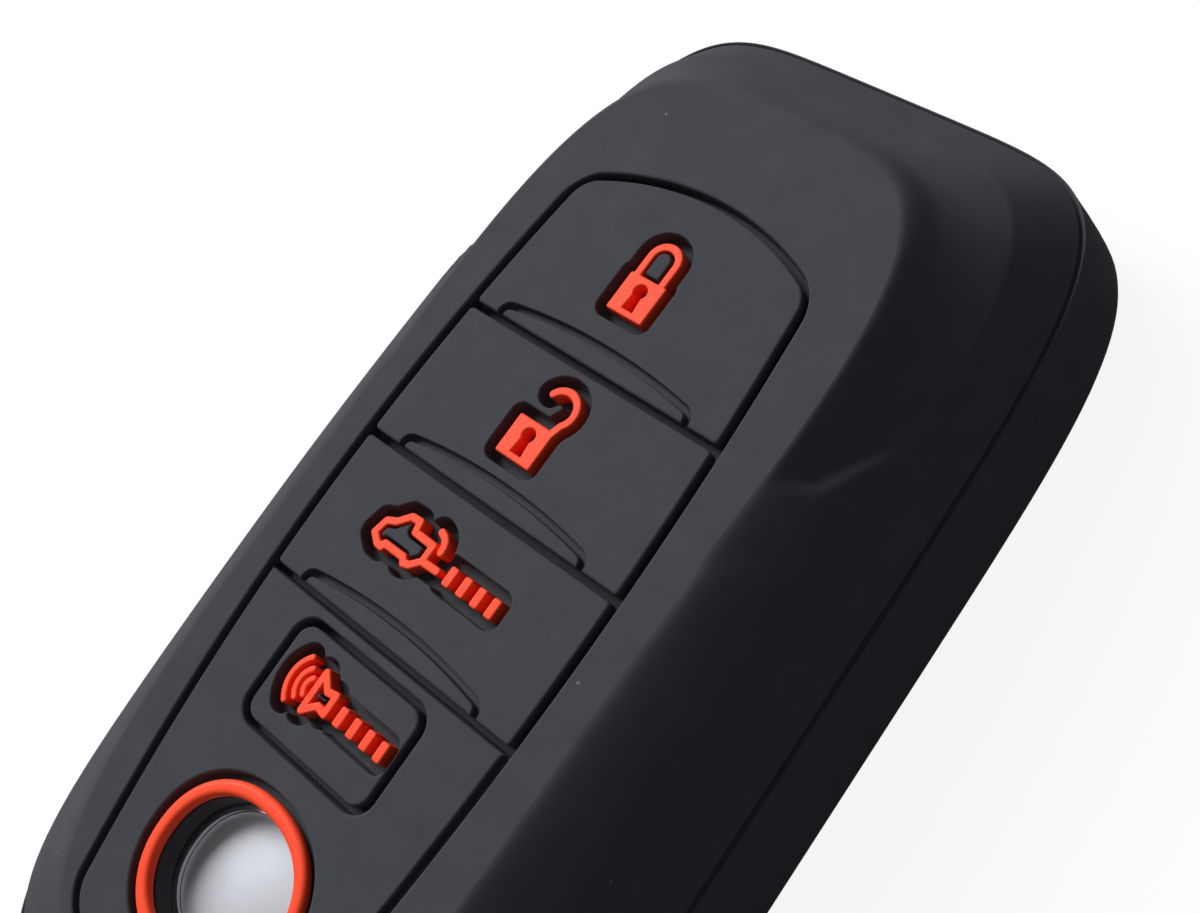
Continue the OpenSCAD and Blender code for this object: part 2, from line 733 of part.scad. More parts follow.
// Car seen from its left, with its tailgate open. Places are shares of the car's length
car_place = [-6.5, 5.35];
car_shares = [
    [0, 0.12], [0.06, 0.35], [0.22, 0.42], [0.39, 0.6], [0.56, 0.61], [0.59, 0.45], [0.98, 0.44],
    [0.98, 0.18], [0.83, 0.03], [0.73, 0], [0.67, 0.07], [0.27, 0.07], [0.25, 0], [0.15, 0.01],
];
tail_bar_shares = [[0.98, 0.18], [1.28, 0.19]];
tailgate_shares = [[0.97, 0.67], [1.05, 0.64], [1.11, 0.59], [1.145, 0.51], [1.15, 0.43]];
module liftgate_mark_2d() {
    translate([car_place.x, groove_3_y + car_place.y]) {
        closed_line_2d(car_l * car_shares);
        line_2d(car_l * tail_bar_shares);
        line_2d(car_l * tailgate_shares);
    }
}

// Row of upright dashes, in the place of a word
dash_count = 4;
dash_w = 0.75;
module dash_row_2d() {
    for (k = [0 : dash_count - 1])
        translate([(dash_row_l - dash_w) * (k / (dash_count - 1) - 0.5), 0])
            rounded_box_2d(dash_w, dash_h, dash_w / 4);
}
liftgate_dash_place = [2.9, 6.5];
panic_dash_place = [2.3, 0.15];
module liftgate_dashes_2d() {
    translate([liftgate_dash_place.x, groove_3_y + liftgate_dash_place.y]) dash_row_2d();
}
module panic_dashes_2d() {
    translate([panic_dash_place.x, panic_y + panic_dash_place.y]) dash_row_2d();
}

// Horn with three waves. Its places and the radii of the waves are shares of the bell's height
horn_place = [-2.8, 0.3];
horn_shares = [[0, 0.5], [0, -0.5], [0.32, -0.19], [0.59, -0.24], [0.59, 0.24], [0.32, 0.19]];
wave_shares = [0.3, 0.53, 0.8];
wave_angle = 45;
wave_stroke_share = 0.8;
module panic_mark_2d() {
    translate([horn_place.x, panic_y + horn_place.y]) {
        closed_line_2d(horn_h * horn_shares);
        for (share = wave_shares)
            line_2d(
                arc_points(horn_h * share, 180 - wave_angle, 180 + wave_angle),
                stroke * wave_stroke_share
            );
    }
}

// Fob front housing: follows the cover's inside, with a window for each key and a seat for the badge
badge_gap = 0.15;
badge_rim_w = 0.9;
badge_seat = 0.6;
badge_half_w = bead_half_w - bead_t + badge_rim_w / 2;
badge_half_l = bead_half_l - bead_t + badge_rim_w / 2;
badge_z = cover_h - fob_drop - crown_sag(window_y) - badge_seat;
module fob_front_housing() {
    color("#1c1d20") at_body() difference() {
        loft(concat(
            cap_levels(fob_in, fob_drop, fob_split_z),
            reversed(cap_levels(fob_in + fob_wall, fob_skin_drop, fob_split_z))
        ));
        raise(fob_split_z, cover_h) {
            for (y = [lock_y, unlock_y, liftgate_y])
                translate([0, y]) rounded_box_2d(key_w + 2 * run, key_l + 2 * run, key_r + run);
            translate([0, panic_y]) rounded_box_2d(panic_key_w + 2 * run, panic_key_l + 2 * run, key_r + run);
        }
        translate([panel_x, 0, 0]) at_window()
            raise(badge_z, cover_h) oval_2d(badge_half_w + badge_gap, badge_half_l + badge_gap);
    }
}

// Badge: a bare oval plate in a bright rim
badge_h = 0.7;
module badge_plate() {
    color("#b9c2cc") at_panel() at_window() intersection() {
        raise(badge_z, badge_z + badge_h) oval_2d(badge_half_w - badge_rim_w, badge_half_l - badge_rim_w);
        translate([0, 0, badge_z + badge_h - badge_dome_r]) sphere(badge_dome_r, $fn = arc_fn / 4);
    }
}
badge_dome_r = 30;
module badge_rim() {
    color("#d8dade") at_panel() at_window() raise(badge_z, badge_z + badge_h - slip) difference() {
        oval_2d(badge_half_w, badge_half_l);
        oval_2d(badge_half_w - badge_rim_w + slip / 2, badge_half_l - badge_rim_w + slip / 2);
    }
}

// A fob key: a cap in its window, a flange that holds it in, and a plunger over its switch
plunger_r = 1.5;
module fob_key(centre_y, w, l) {
    color("#2a2b2f") at_body() translate([0, centre_y, 0]) {
        raise(key_flange_z, key_top_z) rounded_box_2d(w, l, key_r);
        raise(key_flange_z, key_flange_z + key_flange_t)
            rounded_box_2d(w + 2 * key_flange_w, l + 2 * key_flange_w, key_r + key_flange_w);
        translate([0, 0, plunger_z]) cylinder(r = plunger_r, h = key_flange_z - plunger_z + slip);
    }
}
module lock_key() {
    fob_key(lock_y, key_w, key_l);
}
module unlock_key() {
    fob_key(unlock_y, key_w, key_l);
}
module liftgate_key() {
    fob_key(liftgate_y, key_w, key_l);
}
module panic_key() {
    fob_key(panic_y, panic_key_w, panic_key_l);
}
KEY_PLACES = [lock_y, unlock_y, liftgate_y, panic_y];

// Rubber mat on the board, with a well round each switch
mat_t = 0.8;
mat_edge = 4;
well_w = 0.8;
module key_mat() {
    low_y = panic_y - mat_edge;
    high_y = lock_y + mat_edge;
    color("#3b3b3d") at_body() difference() {
        union() {
            translate([0, (low_y + high_y) / 2, 0])
                raise(board_top_z, board_top_z + mat_t) rounded_box_2d(key_w + mat_edge, high_y - low_y, key_r);
            for (y = KEY_PLACES)
                translate([0, y, board_top_z])
                    cylinder(r = switch_w * sqrt(2) / 2 + run + well_w, h = switch_h + switch_button_h - slip);
        }
        for (y = KEY_PLACES)
            translate([0, y, board_top_z - over])
                cylinder(r = switch_w * sqrt(2) / 2 + run, h = switch_h + switch_button_h + 2 * over);
    }
}
module circuit_board() {
    color("#1d5c36") at_body() raise(board_z, board_top_z) rounded_box_2d(board_w, board_l, board_w / 6);
}
module tact_switches() {
    color("#c9ccd1") at_body()
        for (y = KEY_PLACES)
            translate([0, y, board_top_z]) {
                translate([0, 0, switch_h / 2]) cube([switch_w, switch_w, switch_h], center = true);
                cylinder(r = switch_w / 4, h = switch_h + switch_button_h);
            }
}

// Coin cell on the roof of the key's tunnel, with a contact above it and one at its rim
cell_y = -2;
contact_w = 3;
module coin_cell() {
    color("#c4c7cb") at_body() translate([0, cell_y, cell_z]) cylinder(r = cell_d / 2, h = cell_t);
}
module battery_contact_minus() {
    color("#cfc08a") at_body() translate([0, cell_y, cell_z + cell_t + slip / 2])
        translate([0, 0, contact_t / 2]) cube([contact_w, cell_d / 2, contact_t], center = true);
}
module battery_contact_plus() {
    color("#cfc08a") at_body() translate([cell_d / 2 + slip / 2, cell_y - contact_w / 2, cell_z])
        cube([contact_t, contact_w, board_z - cell_z]);
}

// Aerial coil on the board under the badge: a wound block between two flanges
coil_w = 10;
coil_l = 6;
coil_share = 0.7;
coil_h = coil_share * (cover_h - fob_skin_drop - crown_sag(window_y) - board_top_z);
coil_flange_share = 0.15;
module aerial_coil() {
    color("#7a4a24") at_body() translate([0, window_y, board_top_z + coil_h / 2]) {
        cube([coil_w, coil_l * (1 - 2 * coil_flange_share), coil_h * (1 - 2 * coil_flange_share)], center = true);
        for (x = [-1, 1])
            translate([x * coil_w * (1 - coil_flange_share) / 2, 0, 0])
                cube([coil_w * coil_flange_share, coil_l, coil_h], center = true);
    }
}

// Fob rear housing: a tray with the key's tunnel, posts for the board and a slot for the slider
fob_end_y = -(side_b(joint_drop) - fob_in);
tunnel_w = blade_w + 2 * blade_clear + 2 * tunnel_roof_t;
tunnel_start_y = fob_end_y + 0.75 * fob_wall;
tunnel_end_y = fob_end_y + blade_l + fob_wall;
post_r = 1.6;
module fob_rear_housing() {
    color("#1c1d20") at_body() difference() {
        union() {
            loft(concat(
                reversed(tray_levels(fob_in + fob_wall, fob_split_z, fob_floor_z)),
                tray_levels(fob_in, fob_split_z, fob_back_z)
            ));
            raise(fob_floor_z - slip, tunnel_top_z)
                translate([-tunnel_w / 2, tunnel_start_y]) square([tunnel_w, tunnel_end_y - tunnel_start_y]);
            for (x = [-1, 1])
                for (y = [-1, 1])
                    translate([x * (board_w / 2 - 2 * post_r), y * (board_l / 2 - 2 * post_r), fob_back_z + slip])
                        cylinder(r = post_r, h = board_z - fob_back_z - slip);
            slider_stop();
        }
        translate([-blade_w / 2 - blade_clear, fob_end_y - over, blade_z - blade_clear])
            cube([blade_w + 2 * blade_clear, blade_l + over + blade_clear, blade_t + 2 * blade_clear]);
        raise(0, fob_floor_z + slip) slider_slot_2d();
    }
}

// Emergency key: a blade that slides in the tunnel, and a head with the hole for the key ring
head_l = head_out + joint_in_l + side_wall;
head_z = blade_z + blade_t / 2 - head_t / 2;
head_end_y = -half_l - head_out;
head_start_y = head_end_y + head_l;
head_r = 3;
blade_cuts = 5;
blade_cut_depth = 1;
module key_blade() {
    tip = blade_w / 4;
    start_y = head_start_y;
    end_y = fob_end_y + blade_l;
    pitch = (end_y - fob_end_y) / (blade_cuts + 2);
    color("#b4b8bd") at_body() raise(blade_z, blade_z + blade_t) difference() {
        polygon([
            [-blade_w / 2, start_y], [blade_w / 2, start_y], [blade_w / 2, end_y - tip],
            [blade_w / 2 - tip, end_y], [tip - blade_w / 2, end_y], [-blade_w / 2, end_y - tip],
        ]);
        for (k = [2 : blade_cuts])
            translate([blade_w / 2, fob_end_y + k * pitch])
                rotate(45) square(blade_cut_depth * sqrt(2), center = true);
    }
}
ring_hole_y = head_end_y + ring_hole_r + 1.2 * fob_wall;
module key_head() {
    color("#202124") at_body() raise(head_z, head_z + head_t) difference() {
        translate([0, (head_end_y + head_start_y) / 2]) rounded_box_2d(head_w, head_l, head_r);
        translate([0, ring_hole_y]) circle(ring_hole_r);
    }
}

// Release slider on the fob's back, with a foot inside that pushes a small spring
slider_place_share = 0.37;
slider_x = slider_place_share * half_w;
slider_y = -20;
slider_w = 4;
slider_l = 6;
slider_travel = 1.5;
slider_foot = 1;
slider_foot_t = 0.8;
spring_r = 0.9;
spring_l = 2.6;
slider_end_x = slider_x + slider_w / 2 + slider_foot;
module slider_slot_2d() {
    translate([slider_x + slider_travel / 2, slider_y])
        rounded_box_2d(slider_w + slider_travel + 2 * run, slider_l + 2 * run, run);
}
module release_slider() {
    foot_z = fob_floor_z + slip;
    color("#33353a") at_body() translate([slider_x, slider_y, 0]) {
        raise(fob_back_z - slip, foot_z + slip) rounded_box_2d(slider_w, slider_l, run);
        raise(foot_z, foot_z + slider_foot_t) square([slider_w + 2 * slider_foot, slider_l + 2 * slider_foot], center = true);
    }
}
spring_z = fob_floor_z + slip + spring_r;
module release_spring() {
    color("#c9ccd1") at_body() translate([slider_end_x + slip / 2, slider_y, spring_z])
        rotate([0, 90, 0]) difference() {
            cylinder(r = spring_r, h = spring_l);
            translate([0, 0, -over]) cylinder(r = spring_r / 2, h = spring_l + 2 * over);
        }
}
module slider_stop() {
    stop_t = fob_wall;
    translate([slider_end_x + spring_l + slip, slider_y - slider_l / 2, fob_floor_z - slip])
        cube([stop_t, slider_l, 2 * spring_r + 2 * slip]);
}

front_shell();
rear_shell();
window_bead();
lock_pad();
unlock_pad();
liftgate_pad();
panic_pad();
lock_mark();
unlock_mark();
liftgate_mark();
liftgate_dashes();
panic_mark();
panic_dashes();
fob_front_housing();
fob_rear_housing();
badge_plate();
badge_rim();
lock_key();
unlock_key();
liftgate_key();
panic_key();
key_mat();
circuit_board();
tact_switches();
coin_cell();
battery_contact_plus();
battery_contact_minus();
aerial_coil();
key_blade();
key_head();
release_slider();
release_spring();
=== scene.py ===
"""Looks of a two-part cover for a car key fob, on its back on a pale table, lit from the upper left."""
import json
import math

import bmesh
import bpy
import numpy as np
from mathutils import Matrix, Vector
from mathutils.geometry import delaunay_2d_cdt


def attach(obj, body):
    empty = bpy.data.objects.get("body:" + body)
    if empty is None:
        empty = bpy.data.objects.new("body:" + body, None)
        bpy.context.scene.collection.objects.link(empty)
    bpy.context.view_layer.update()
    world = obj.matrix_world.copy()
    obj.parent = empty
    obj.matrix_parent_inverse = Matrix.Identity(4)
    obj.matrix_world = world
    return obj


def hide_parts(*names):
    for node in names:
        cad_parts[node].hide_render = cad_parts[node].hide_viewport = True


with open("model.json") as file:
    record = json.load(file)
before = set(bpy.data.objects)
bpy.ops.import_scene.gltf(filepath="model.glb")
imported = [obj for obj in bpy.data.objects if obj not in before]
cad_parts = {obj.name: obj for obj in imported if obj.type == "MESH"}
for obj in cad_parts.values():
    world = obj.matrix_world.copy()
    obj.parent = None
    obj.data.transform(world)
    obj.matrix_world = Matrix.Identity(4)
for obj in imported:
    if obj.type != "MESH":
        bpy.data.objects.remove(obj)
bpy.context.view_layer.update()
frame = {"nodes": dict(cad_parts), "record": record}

MM = 0.001

# Camera: direction from the object, roll about the view, distance, the point looked at, and the lens
view_azimuth = math.radians(81.341)
view_elevation = math.radians(56.549)
view_roll = math.radians(-46.840)
view_distance = 109.627 * MM
view_target = Vector((4.388, 13.916, 20)) * MM
sensor_mm, lens_mm = 36, 50.4
nearest_seen_m, farthest_seen_m = 0.005, 20


def add_camera():
    sin_a, cos_a = math.sin(view_azimuth), math.cos(view_azimuth)
    sin_e, cos_e = math.sin(view_elevation), math.cos(view_elevation)
    back = Vector((sin_a * cos_e, -cos_a * cos_e, sin_e))
    right = Vector((cos_a, sin_a, 0))
    up = back.cross(right)
    cos_r, sin_r = math.cos(view_roll), math.sin(view_roll)
    turned_right = right * cos_r + up * sin_r
    turned_up = up * cos_r - right * sin_r
    data = bpy.data.cameras.new("camera")
    data.sensor_width = sensor_mm
    data.lens = lens_mm
    data.clip_start, data.clip_end = nearest_seen_m, farthest_seen_m
    camera = bpy.data.objects.new("camera", data)
    place = view_target + back * view_distance
    turned = Matrix((turned_right, turned_up, back)).transposed().to_4x4()
    camera.matrix_world = Matrix.Translation(place) @ turned
    bpy.context.scene.collection.objects.link(camera)
    bpy.context.scene.camera = camera


add_camera()

# Sizes of the cover in millimetres, as in the part's source
cover_h = 20
half_w, half_l = 24.5, 46.2
crown_r = 710
body_shift = 3.5
face_in = (8.6, 8)
shoulder_in = (4.4, 4)
joint_in = (1.9, 0.6)
edge_drop, shoulder_drop, joint_drop = 0.5, 6.6, 10.9
joint_z = cover_h - joint_drop
foot_r = 2.4
widest_h = 2.6
lip_proud = 0.35
side_wall, face_skin, back_skin = 2.4, 2.5, 1.6
tongue_l, tongue_t = 1.4, 0.9
slip, run = 0.1, 0.3
face_square, side_square = 4.2, 6
taper_share, face_flare_share = 0.07, 0.03
bevel_depth, side_bulge = 0.7, 1.1
bevel_edge_share = 0.5
bevel_start_y, bevel_climb, crease_w = 8.3, 15, 2.2
edge_round, edge_end_share = 0.8, 0.3
back_round, rear_side_power = 2.4, 1.5
back_open_w, back_open_l, back_open_r = 30, 58, 8
key_notch_w, key_notch_z, key_notch_beyond = 14.2, 2.431, 1

# The panel of pads, measured from its own middle
panel_x = -0.5
panel_half_w, panel_side_r, panel_wide_y = 12.3, 225, -1.2
panel_top_y, panel_top_r, panel_corner_r = 29.3, 22, 1.3
panel_bottom_y, panel_bottom_r = -35.6, 3
middle_groove_y, pad_pitch = 3.3, 11.5
groove_w, groove_depth = 0.56, 0.7
ledge_drop, ledge_w, panic_ledge_share = 1.8, 1, 0.6
pad_travel = 0.5
ridge_x, ridge_half_w, ridge_rise, ridge_end_rise, ridge_turn_w = -0.25, 8.8, 1.9, 1.1, 0.7
panic_w, panic_l, panic_r, panic_x, panic_gap = 12.9, 8, 1.5, -0.5, 1.3
mark_depth, mark_gap, island_gap, stroke = 1.3, 0.75, 0.22, 0.62
window_x, window_gap = -0.2, 18.4
bead_half_w, bead_half_l, bead_t, bead_gap, bead_seat, bead_round = 7, 6.4, 1.1, 0.5, 0.9, 0.4
window_square = 2.17
opening_corner_r, pad_corner_r, nub_corner_r = 0.2, 0.3, 0.3
pad_nub, panic_nub = (7.2, 3.6), (4.8, 2.64)

groove_1_y = middle_groove_y + pad_pitch
groove_3_y = middle_groove_y - pad_pitch
panic_y = groove_3_y - panic_gap - panic_l / 2
window_y = groove_3_y - window_gap
ledge_z = cover_h - ledge_drop
skin_z = cover_h - face_skin
flange_z = ledge_z + pad_travel + 1.5 * slip
block_z = skin_z + run
nub_z = skin_z - slip
top_beyond = 1

# Rounding of the moulded edges, slope of the cut walls, and the small fillets at their foot
soft_edge_r = 0.22
mark_edge_r, recess_edge_r, ridge_edge_r = 0.14, 0.12, 0.1
block_edge_r, nub_edge_r, hidden_fillet = 0.1, 0.05, 0.05
seam_r, seam_middle_share = 0.16, 0.3
wall_draft = 0.03
floor_fillet = 0.1
crease_angle = math.radians(32)

# Fineness: points round a ring and along curves, steps on outlines, and spacing of the points between them
columns = 360
edge_steps, side_steps, lip_steps, rear_steps, corner_steps = 9, 14, 5, 12, 9
ridge_turn_steps, ridge_bow_steps = 7, 24
bead_points, bead_corner_points = 160, 6
outline_step, back_step, ridge_step, mark_step = 0.2, 0.5, 0.1, 0.09
seen_spacing, hidden_spacing, back_spacing, mark_spacing = 2, 3, 4, 1
edge_angles, foot_angles = (0, 25, 50, 90), (0, 45, 90)

# Tolerances in millimetres, with an area in square millimetres and the weld's length in metres
nearly_zero = 1e-9
plan_weld = 1e-4
least_area = 1e-10
least_drop = 1e-7
hole_reach = 0.1
weld_gap_m = 4e-7


# The cover's skin, ring by ring, in the same formulas as the part's source
ring_angles = np.linspace(0, 2 * math.pi, columns, endpoint=False)


def smooth_step(v):
    v = np.clip(v, 0, 1)
    return v * v * (3 - 2 * v)


def crown_sag(y):
    return (y - body_shift - middle_groove_y) ** 2 / (2 * crown_r)


def face_z(y):
    return cover_h - crown_sag(y)


def oval(a, b, n, taper):
    """A squared ellipse about the cover's own middle, narrowed towards the lock end."""
    u, v = half_w * np.cos(ring_angles), half_l * np.sin(ring_angles)
    k = ((np.abs(u) / a) ** n + (np.abs(v) / b) ** n) ** (-1 / n)
    return np.stack([u * k * (1 - taper * v * k / half_l), v * k], -1)


def side_inset(drop, axis):
    """How far the side lies inside the widest outline, at a drop below the middle of the face."""
    if drop < shoulder_drop:
        return np.interp(drop, [edge_drop, shoulder_drop], [face_in[axis], shoulder_in[axis]])
    return np.interp(drop, [shoulder_drop, joint_drop], [shoulder_in[axis], joint_in[axis]])


def side_half(drop, inset=0.0):
    """Half width and half length at a drop, and the drop as a share of the way to the shoulder."""
    share = (drop - edge_drop) / (shoulder_drop - edge_drop)
    return half_w - side_inset(drop, 0) - inset, half_l - side_inset(drop, 1) - inset, share


def lifted(plan, z):
    """A ring of points from a plan about the cover's middle and a height or heights."""
    return np.column_stack([plan[:, 0], plan[:, 1] + body_shift, np.broadcast_to(z, len(plan))])


def corner_ring(drop, n, taper):
    a, b, _ = side_half(drop)
    return oval(a, b, n, taper)


edge_plan = corner_ring(edge_drop, face_square, -face_flare_share)
shoulder_plan = corner_ring(shoulder_drop, side_square, taper_share)


def side_ring(s):
    """The side from the face edge, at 0, to the shoulder, at 1, with its scooped bevel round the lock end."""
    plan = edge_plan * (1 - s) + shoulder_plan * s
    edge_z = face_z(edge_plan[:, 1] + body_shift) - edge_drop
    z = edge_z * (1 - s) + (cover_h - shoulder_drop) * s
    scoop = smooth_step((plan[:, 1] - bevel_start_y - bevel_climb * math.sqrt(s)) / crease_w + 0.5)
    bevel = -bevel_depth * (1 - s) * (bevel_edge_share + (4 - 2 * bevel_edge_share) * s)
    bulge = 4 * side_bulge * s * (1 - s)
    out = plan / np.linalg.norm(plan, axis=1)[:, None]
    return lifted(plan + out * (bevel * scoop + bulge * (1 - scoop))[:, None], z)


def bend(start, corner, end, u):
    """A point of the curve that leaves its start towards a corner and comes from there to its end."""
    return (start * (1 - u) + corner * u) * (1 - u) + (corner * (1 - u) + end * u) * u


def edge_rings():
    """The rounded face edge, from the flat face to the side."""
    corner, end = side_ring(0), side_ring(edge_end_share)
    corner[:, 2] = face_z(corner[:, 1])
    start = corner.copy()
    out = start[:, :2] - (0, body_shift)
    start[:, :2] -= edge_round * out / np.linalg.norm(out, axis=1)[:, None]
    start[:, 2] = face_z(start[:, 1])
    return [bend(start, corner, end, u) for u in np.linspace(0, 1, edge_steps)]


def wall_ring(inset, z):
    """A ring parallel to the joint's outline, at one height."""
    a, b, _ = side_half(joint_drop, inset)
    return lifted(oval(a, b, side_square, taper_share), z)


def cap_rings(inset, drop, floor):
    """The inside of a cap: its flat top's edge, its shoulder, and its upright wall down to a floor."""
    a, b, share = side_half(drop, inset)
    n = face_square + (side_square - face_square) * share
    taper = taper_share - (taper_share + face_flare_share) * (1 - share)
    top = oval(a, b, n, taper)
    a, b, _ = side_half(shoulder_drop, inset)
    return [
        lifted(top, face_z(top[:, 1] + body_shift) - drop),
        lifted(oval(a, b, side_square, taper_share), cover_h - shoulder_drop),
        wall_ring(inset, joint_z),
        wall_ring(inset, floor),
    ]


def band(rings, inward=False):
    """One smooth band of faces over rings, as points, their normals and triangles."""
    grid = np.array(rings)
    along = np.roll(grid, -1, axis=1) - np.roll(grid, 1, axis=1)
    down = np.gradient(grid, axis=0)
    normals = np.cross(down, along)
    normals /= np.linalg.norm(normals, axis=2)[:, :, None]
    r, i = np.meshgrid(np.arange(len(rings) - 1), np.arange(columns), indexing="ij")
    j = (i + 1) % columns
    a, b, c, d = r * columns + i, r * columns + j, (r + 1) * columns + i, (r + 1) * columns + j
    faces = np.concatenate([np.stack([a, c, d], -1).reshape(-1, 3), np.stack([a, d, b], -1).reshape(-1, 3)])
    if inward:
        normals, faces = -normals, faces[:, ::-1]
    return grid.reshape(-1, 3), normals.reshape(-1, 3), faces


# Outlines as fields: less than zero inside, and about the distance to the outline elsewhere
def rounded_min_max(a, b, r):
    """Where two fields meet, inside both, with their corner rounded."""
    a, b = a + r, b + r
    return np.where((a > 0) & (b > 0), np.hypot(a, b), np.maximum(a, b)) - r


def box_field(x, y, w, l, r):
    dx, dy = np.abs(x) - w / 2 + r, np.abs(y) - l / 2 + r
    return np.hypot(np.maximum(dx, 0), np.maximum(dy, 0)) + np.minimum(np.maximum(dx, dy), 0) - r


def line_field(x, y, points, closed=False):
    """Distance to a line through points."""
    ends = list(points[1:]) + ([points[0]] if closed else [])
    best = np.full(np.shape(x), np.inf)
    for p, q in zip(points, ends):
        dx, dy = q[0] - p[0], q[1] - p[1]
        t = np.clip(((x - p[0]) * dx + (y - p[1]) * dy) / (dx * dx + dy * dy), 0, 1)
        best = np.minimum(best, np.hypot(x - p[0] - t * dx, y - p[1] - t * dy))
    return best


def inside_field(x, y, points):
    """Whether places lie inside a closed outline."""
    inside = np.zeros(np.shape(x), bool)
    for p, q in zip(points, np.roll(points, -1, axis=0)):
        if p[1] != q[1]:
            crosses = (y < p[1]) != (y < q[1])
            inside ^= crosses & (x < p[0] + (y - p[1]) * (q[0] - p[0]) / (q[1] - p[1]))
    return inside


def arc(middle, r, start, end, steps=16):
    return [
        (middle[0] + r * math.cos(math.radians(t)), middle[1] + r * math.sin(math.radians(t)))
        for t in np.linspace(start, end, steps + 1)
    ]


def panel_place(x, y):
    """A place in the frame, from the panel's middle."""
    return x - panel_x, y - body_shift


def panel_field(x, y):
    """The panel: bowed sides, an arch at the lock end, and a straight lower end."""
    side = np.hypot(np.abs(x) + panel_side_r - panel_half_w, y - panel_wide_y) - panel_side_r
    arch_y = y - panel_top_y + panel_top_r
    arch = np.where(arch_y > 0, np.hypot(x, arch_y) - panel_top_r, -np.inf)
    top = rounded_min_max(side, arch, panel_corner_r)
    return rounded_min_max(top, panel_bottom_y - y, panel_bottom_r)


pad_lows = {"lock": groove_1_y, "unlock": middle_groove_y, "liftgate": groove_3_y}
pad_highs = {"lock": panel_top_y + top_beyond, "unlock": groove_1_y, "liftgate": middle_groove_y}


def panel_part_field(x, y, low, high, grow, corner_r=0.0):
    """The stretch of the panel between two grooves, grown or shrunk all round."""
    across = np.maximum(low - y, y - high) - grow
    return rounded_min_max(panel_field(x, y) - grow, across, corner_r)


def panic_field(x, y, grow):
    return box_field(x - panic_x, y - panic_y, panic_w + 2 * grow, panic_l + 2 * grow, panic_r + grow)


def window_field(x, y, grow):
    """The squared oval of the window."""
    u, v = np.abs(x - window_x) / (bead_half_w + grow), np.abs(y - window_y) / (bead_half_l + grow)
    return ((u ** window_square + v ** window_square) ** (1 / window_square) - 1) * (bead_half_l + grow)


def gradient(field, x, y):
    """The direction in which a field grows, as a unit vector's two parts."""
    step = 1e-3
    gx = field(x + step, y) - field(x - step, y)
    gy = field(x, y + step) - field(x, y - step)
    size = np.maximum(np.hypot(gx, gy), nearly_zero)
    return gx / size, gy / size


def contour(field, level, box, step):
    """Points and edges of the line on which a field has a level, found on a grid."""
    x, y = np.meshgrid(np.arange(box[0], box[2] + step, step), np.arange(box[1], box[3] + step, step))
    v = field(x, y) - level
    v[v == 0] = nearly_zero
    inside = v < 0
    cross_x, cross_y = inside[:, :-1] != inside[:, 1:], inside[:-1] != inside[1:]
    ids_x, ids_y = np.full(cross_x.shape, -1), np.full(cross_y.shape, -1)
    ids_x[cross_x] = np.arange(cross_x.sum())
    ids_y[cross_y] = np.arange(cross_y.sum()) + cross_x.sum()
    share_x = (v[:, :-1] / np.where(cross_x, v[:, :-1] - v[:, 1:], 1))[cross_x]
    share_y = (v[:-1] / np.where(cross_y, v[:-1] - v[1:], 1))[cross_y]
    points = np.concatenate([
        np.stack([x[:, :-1][cross_x] + share_x * step, y[:, :-1][cross_x]], -1),
        np.stack([x[:-1][cross_y], y[:-1][cross_y] + share_y * step], -1),
    ])
    cells = np.stack([ids_x[:-1], ids_y[:, :-1], ids_x[1:], ids_y[:, 1:]], -1).reshape(-1, 4)
    count = (cells >= 0).sum(1)
    two = cells[count == 2]
    edges = np.concatenate([two[two >= 0].reshape(-1, 2), cells[count == 4].reshape(-1, 2)])
    return points, edges


class Cut:
    """A cut into a surface: where it is, the floor it goes down to, and the rounding of its edge and foot.

    Its outlines are looked for in its own box, or else in the whole surface's.
    """

    def __init__(self, field, floor, edge_r=soft_edge_r, step=outline_step, fillet=floor_fillet, box=None):
        self.field, self.floor, self.edge_r = field, floor, edge_r
        self.step, self.fillet, self.box = step, fillet, box

    def levels(self):
        """Values of the field at which the surface needs a line of points."""
        top = [self.edge_r * (1 - math.sin(math.radians(t))) for t in edge_angles]
        if self.floor is None:
            return top
        return top + [-wall_draft - self.fillet * (1 - math.cos(math.radians(t))) for t in foot_angles]

    def shape(self, x, y, base):
        """Height of the surface and tilt of its normal towards the cut."""
        c = self.field(x, y)
        angle = np.arcsin(np.clip(1 - c / self.edge_r, 0, 1))
        z = base - self.edge_r * (1 - np.cos(angle))
        if self.floor is None:
            return z, angle
        floor = self.floor(x, y)
        wall_top, wall_foot = base - self.edge_r, floor + self.fillet
        z = np.where(c < 0, wall_foot + (wall_top - wall_foot) * np.clip(1 + c / wall_draft, 0, 1), z)
        near = np.clip((c + wall_draft + self.fillet) / self.fillet, 0, 1)
        turned = np.arccos(near)
        foot = c < -wall_draft
        z = np.where(foot, floor + self.fillet * (1 - np.sin(turned)), z)
        angle = np.where(foot, math.pi / 2 - turned, angle)
        return z, angle


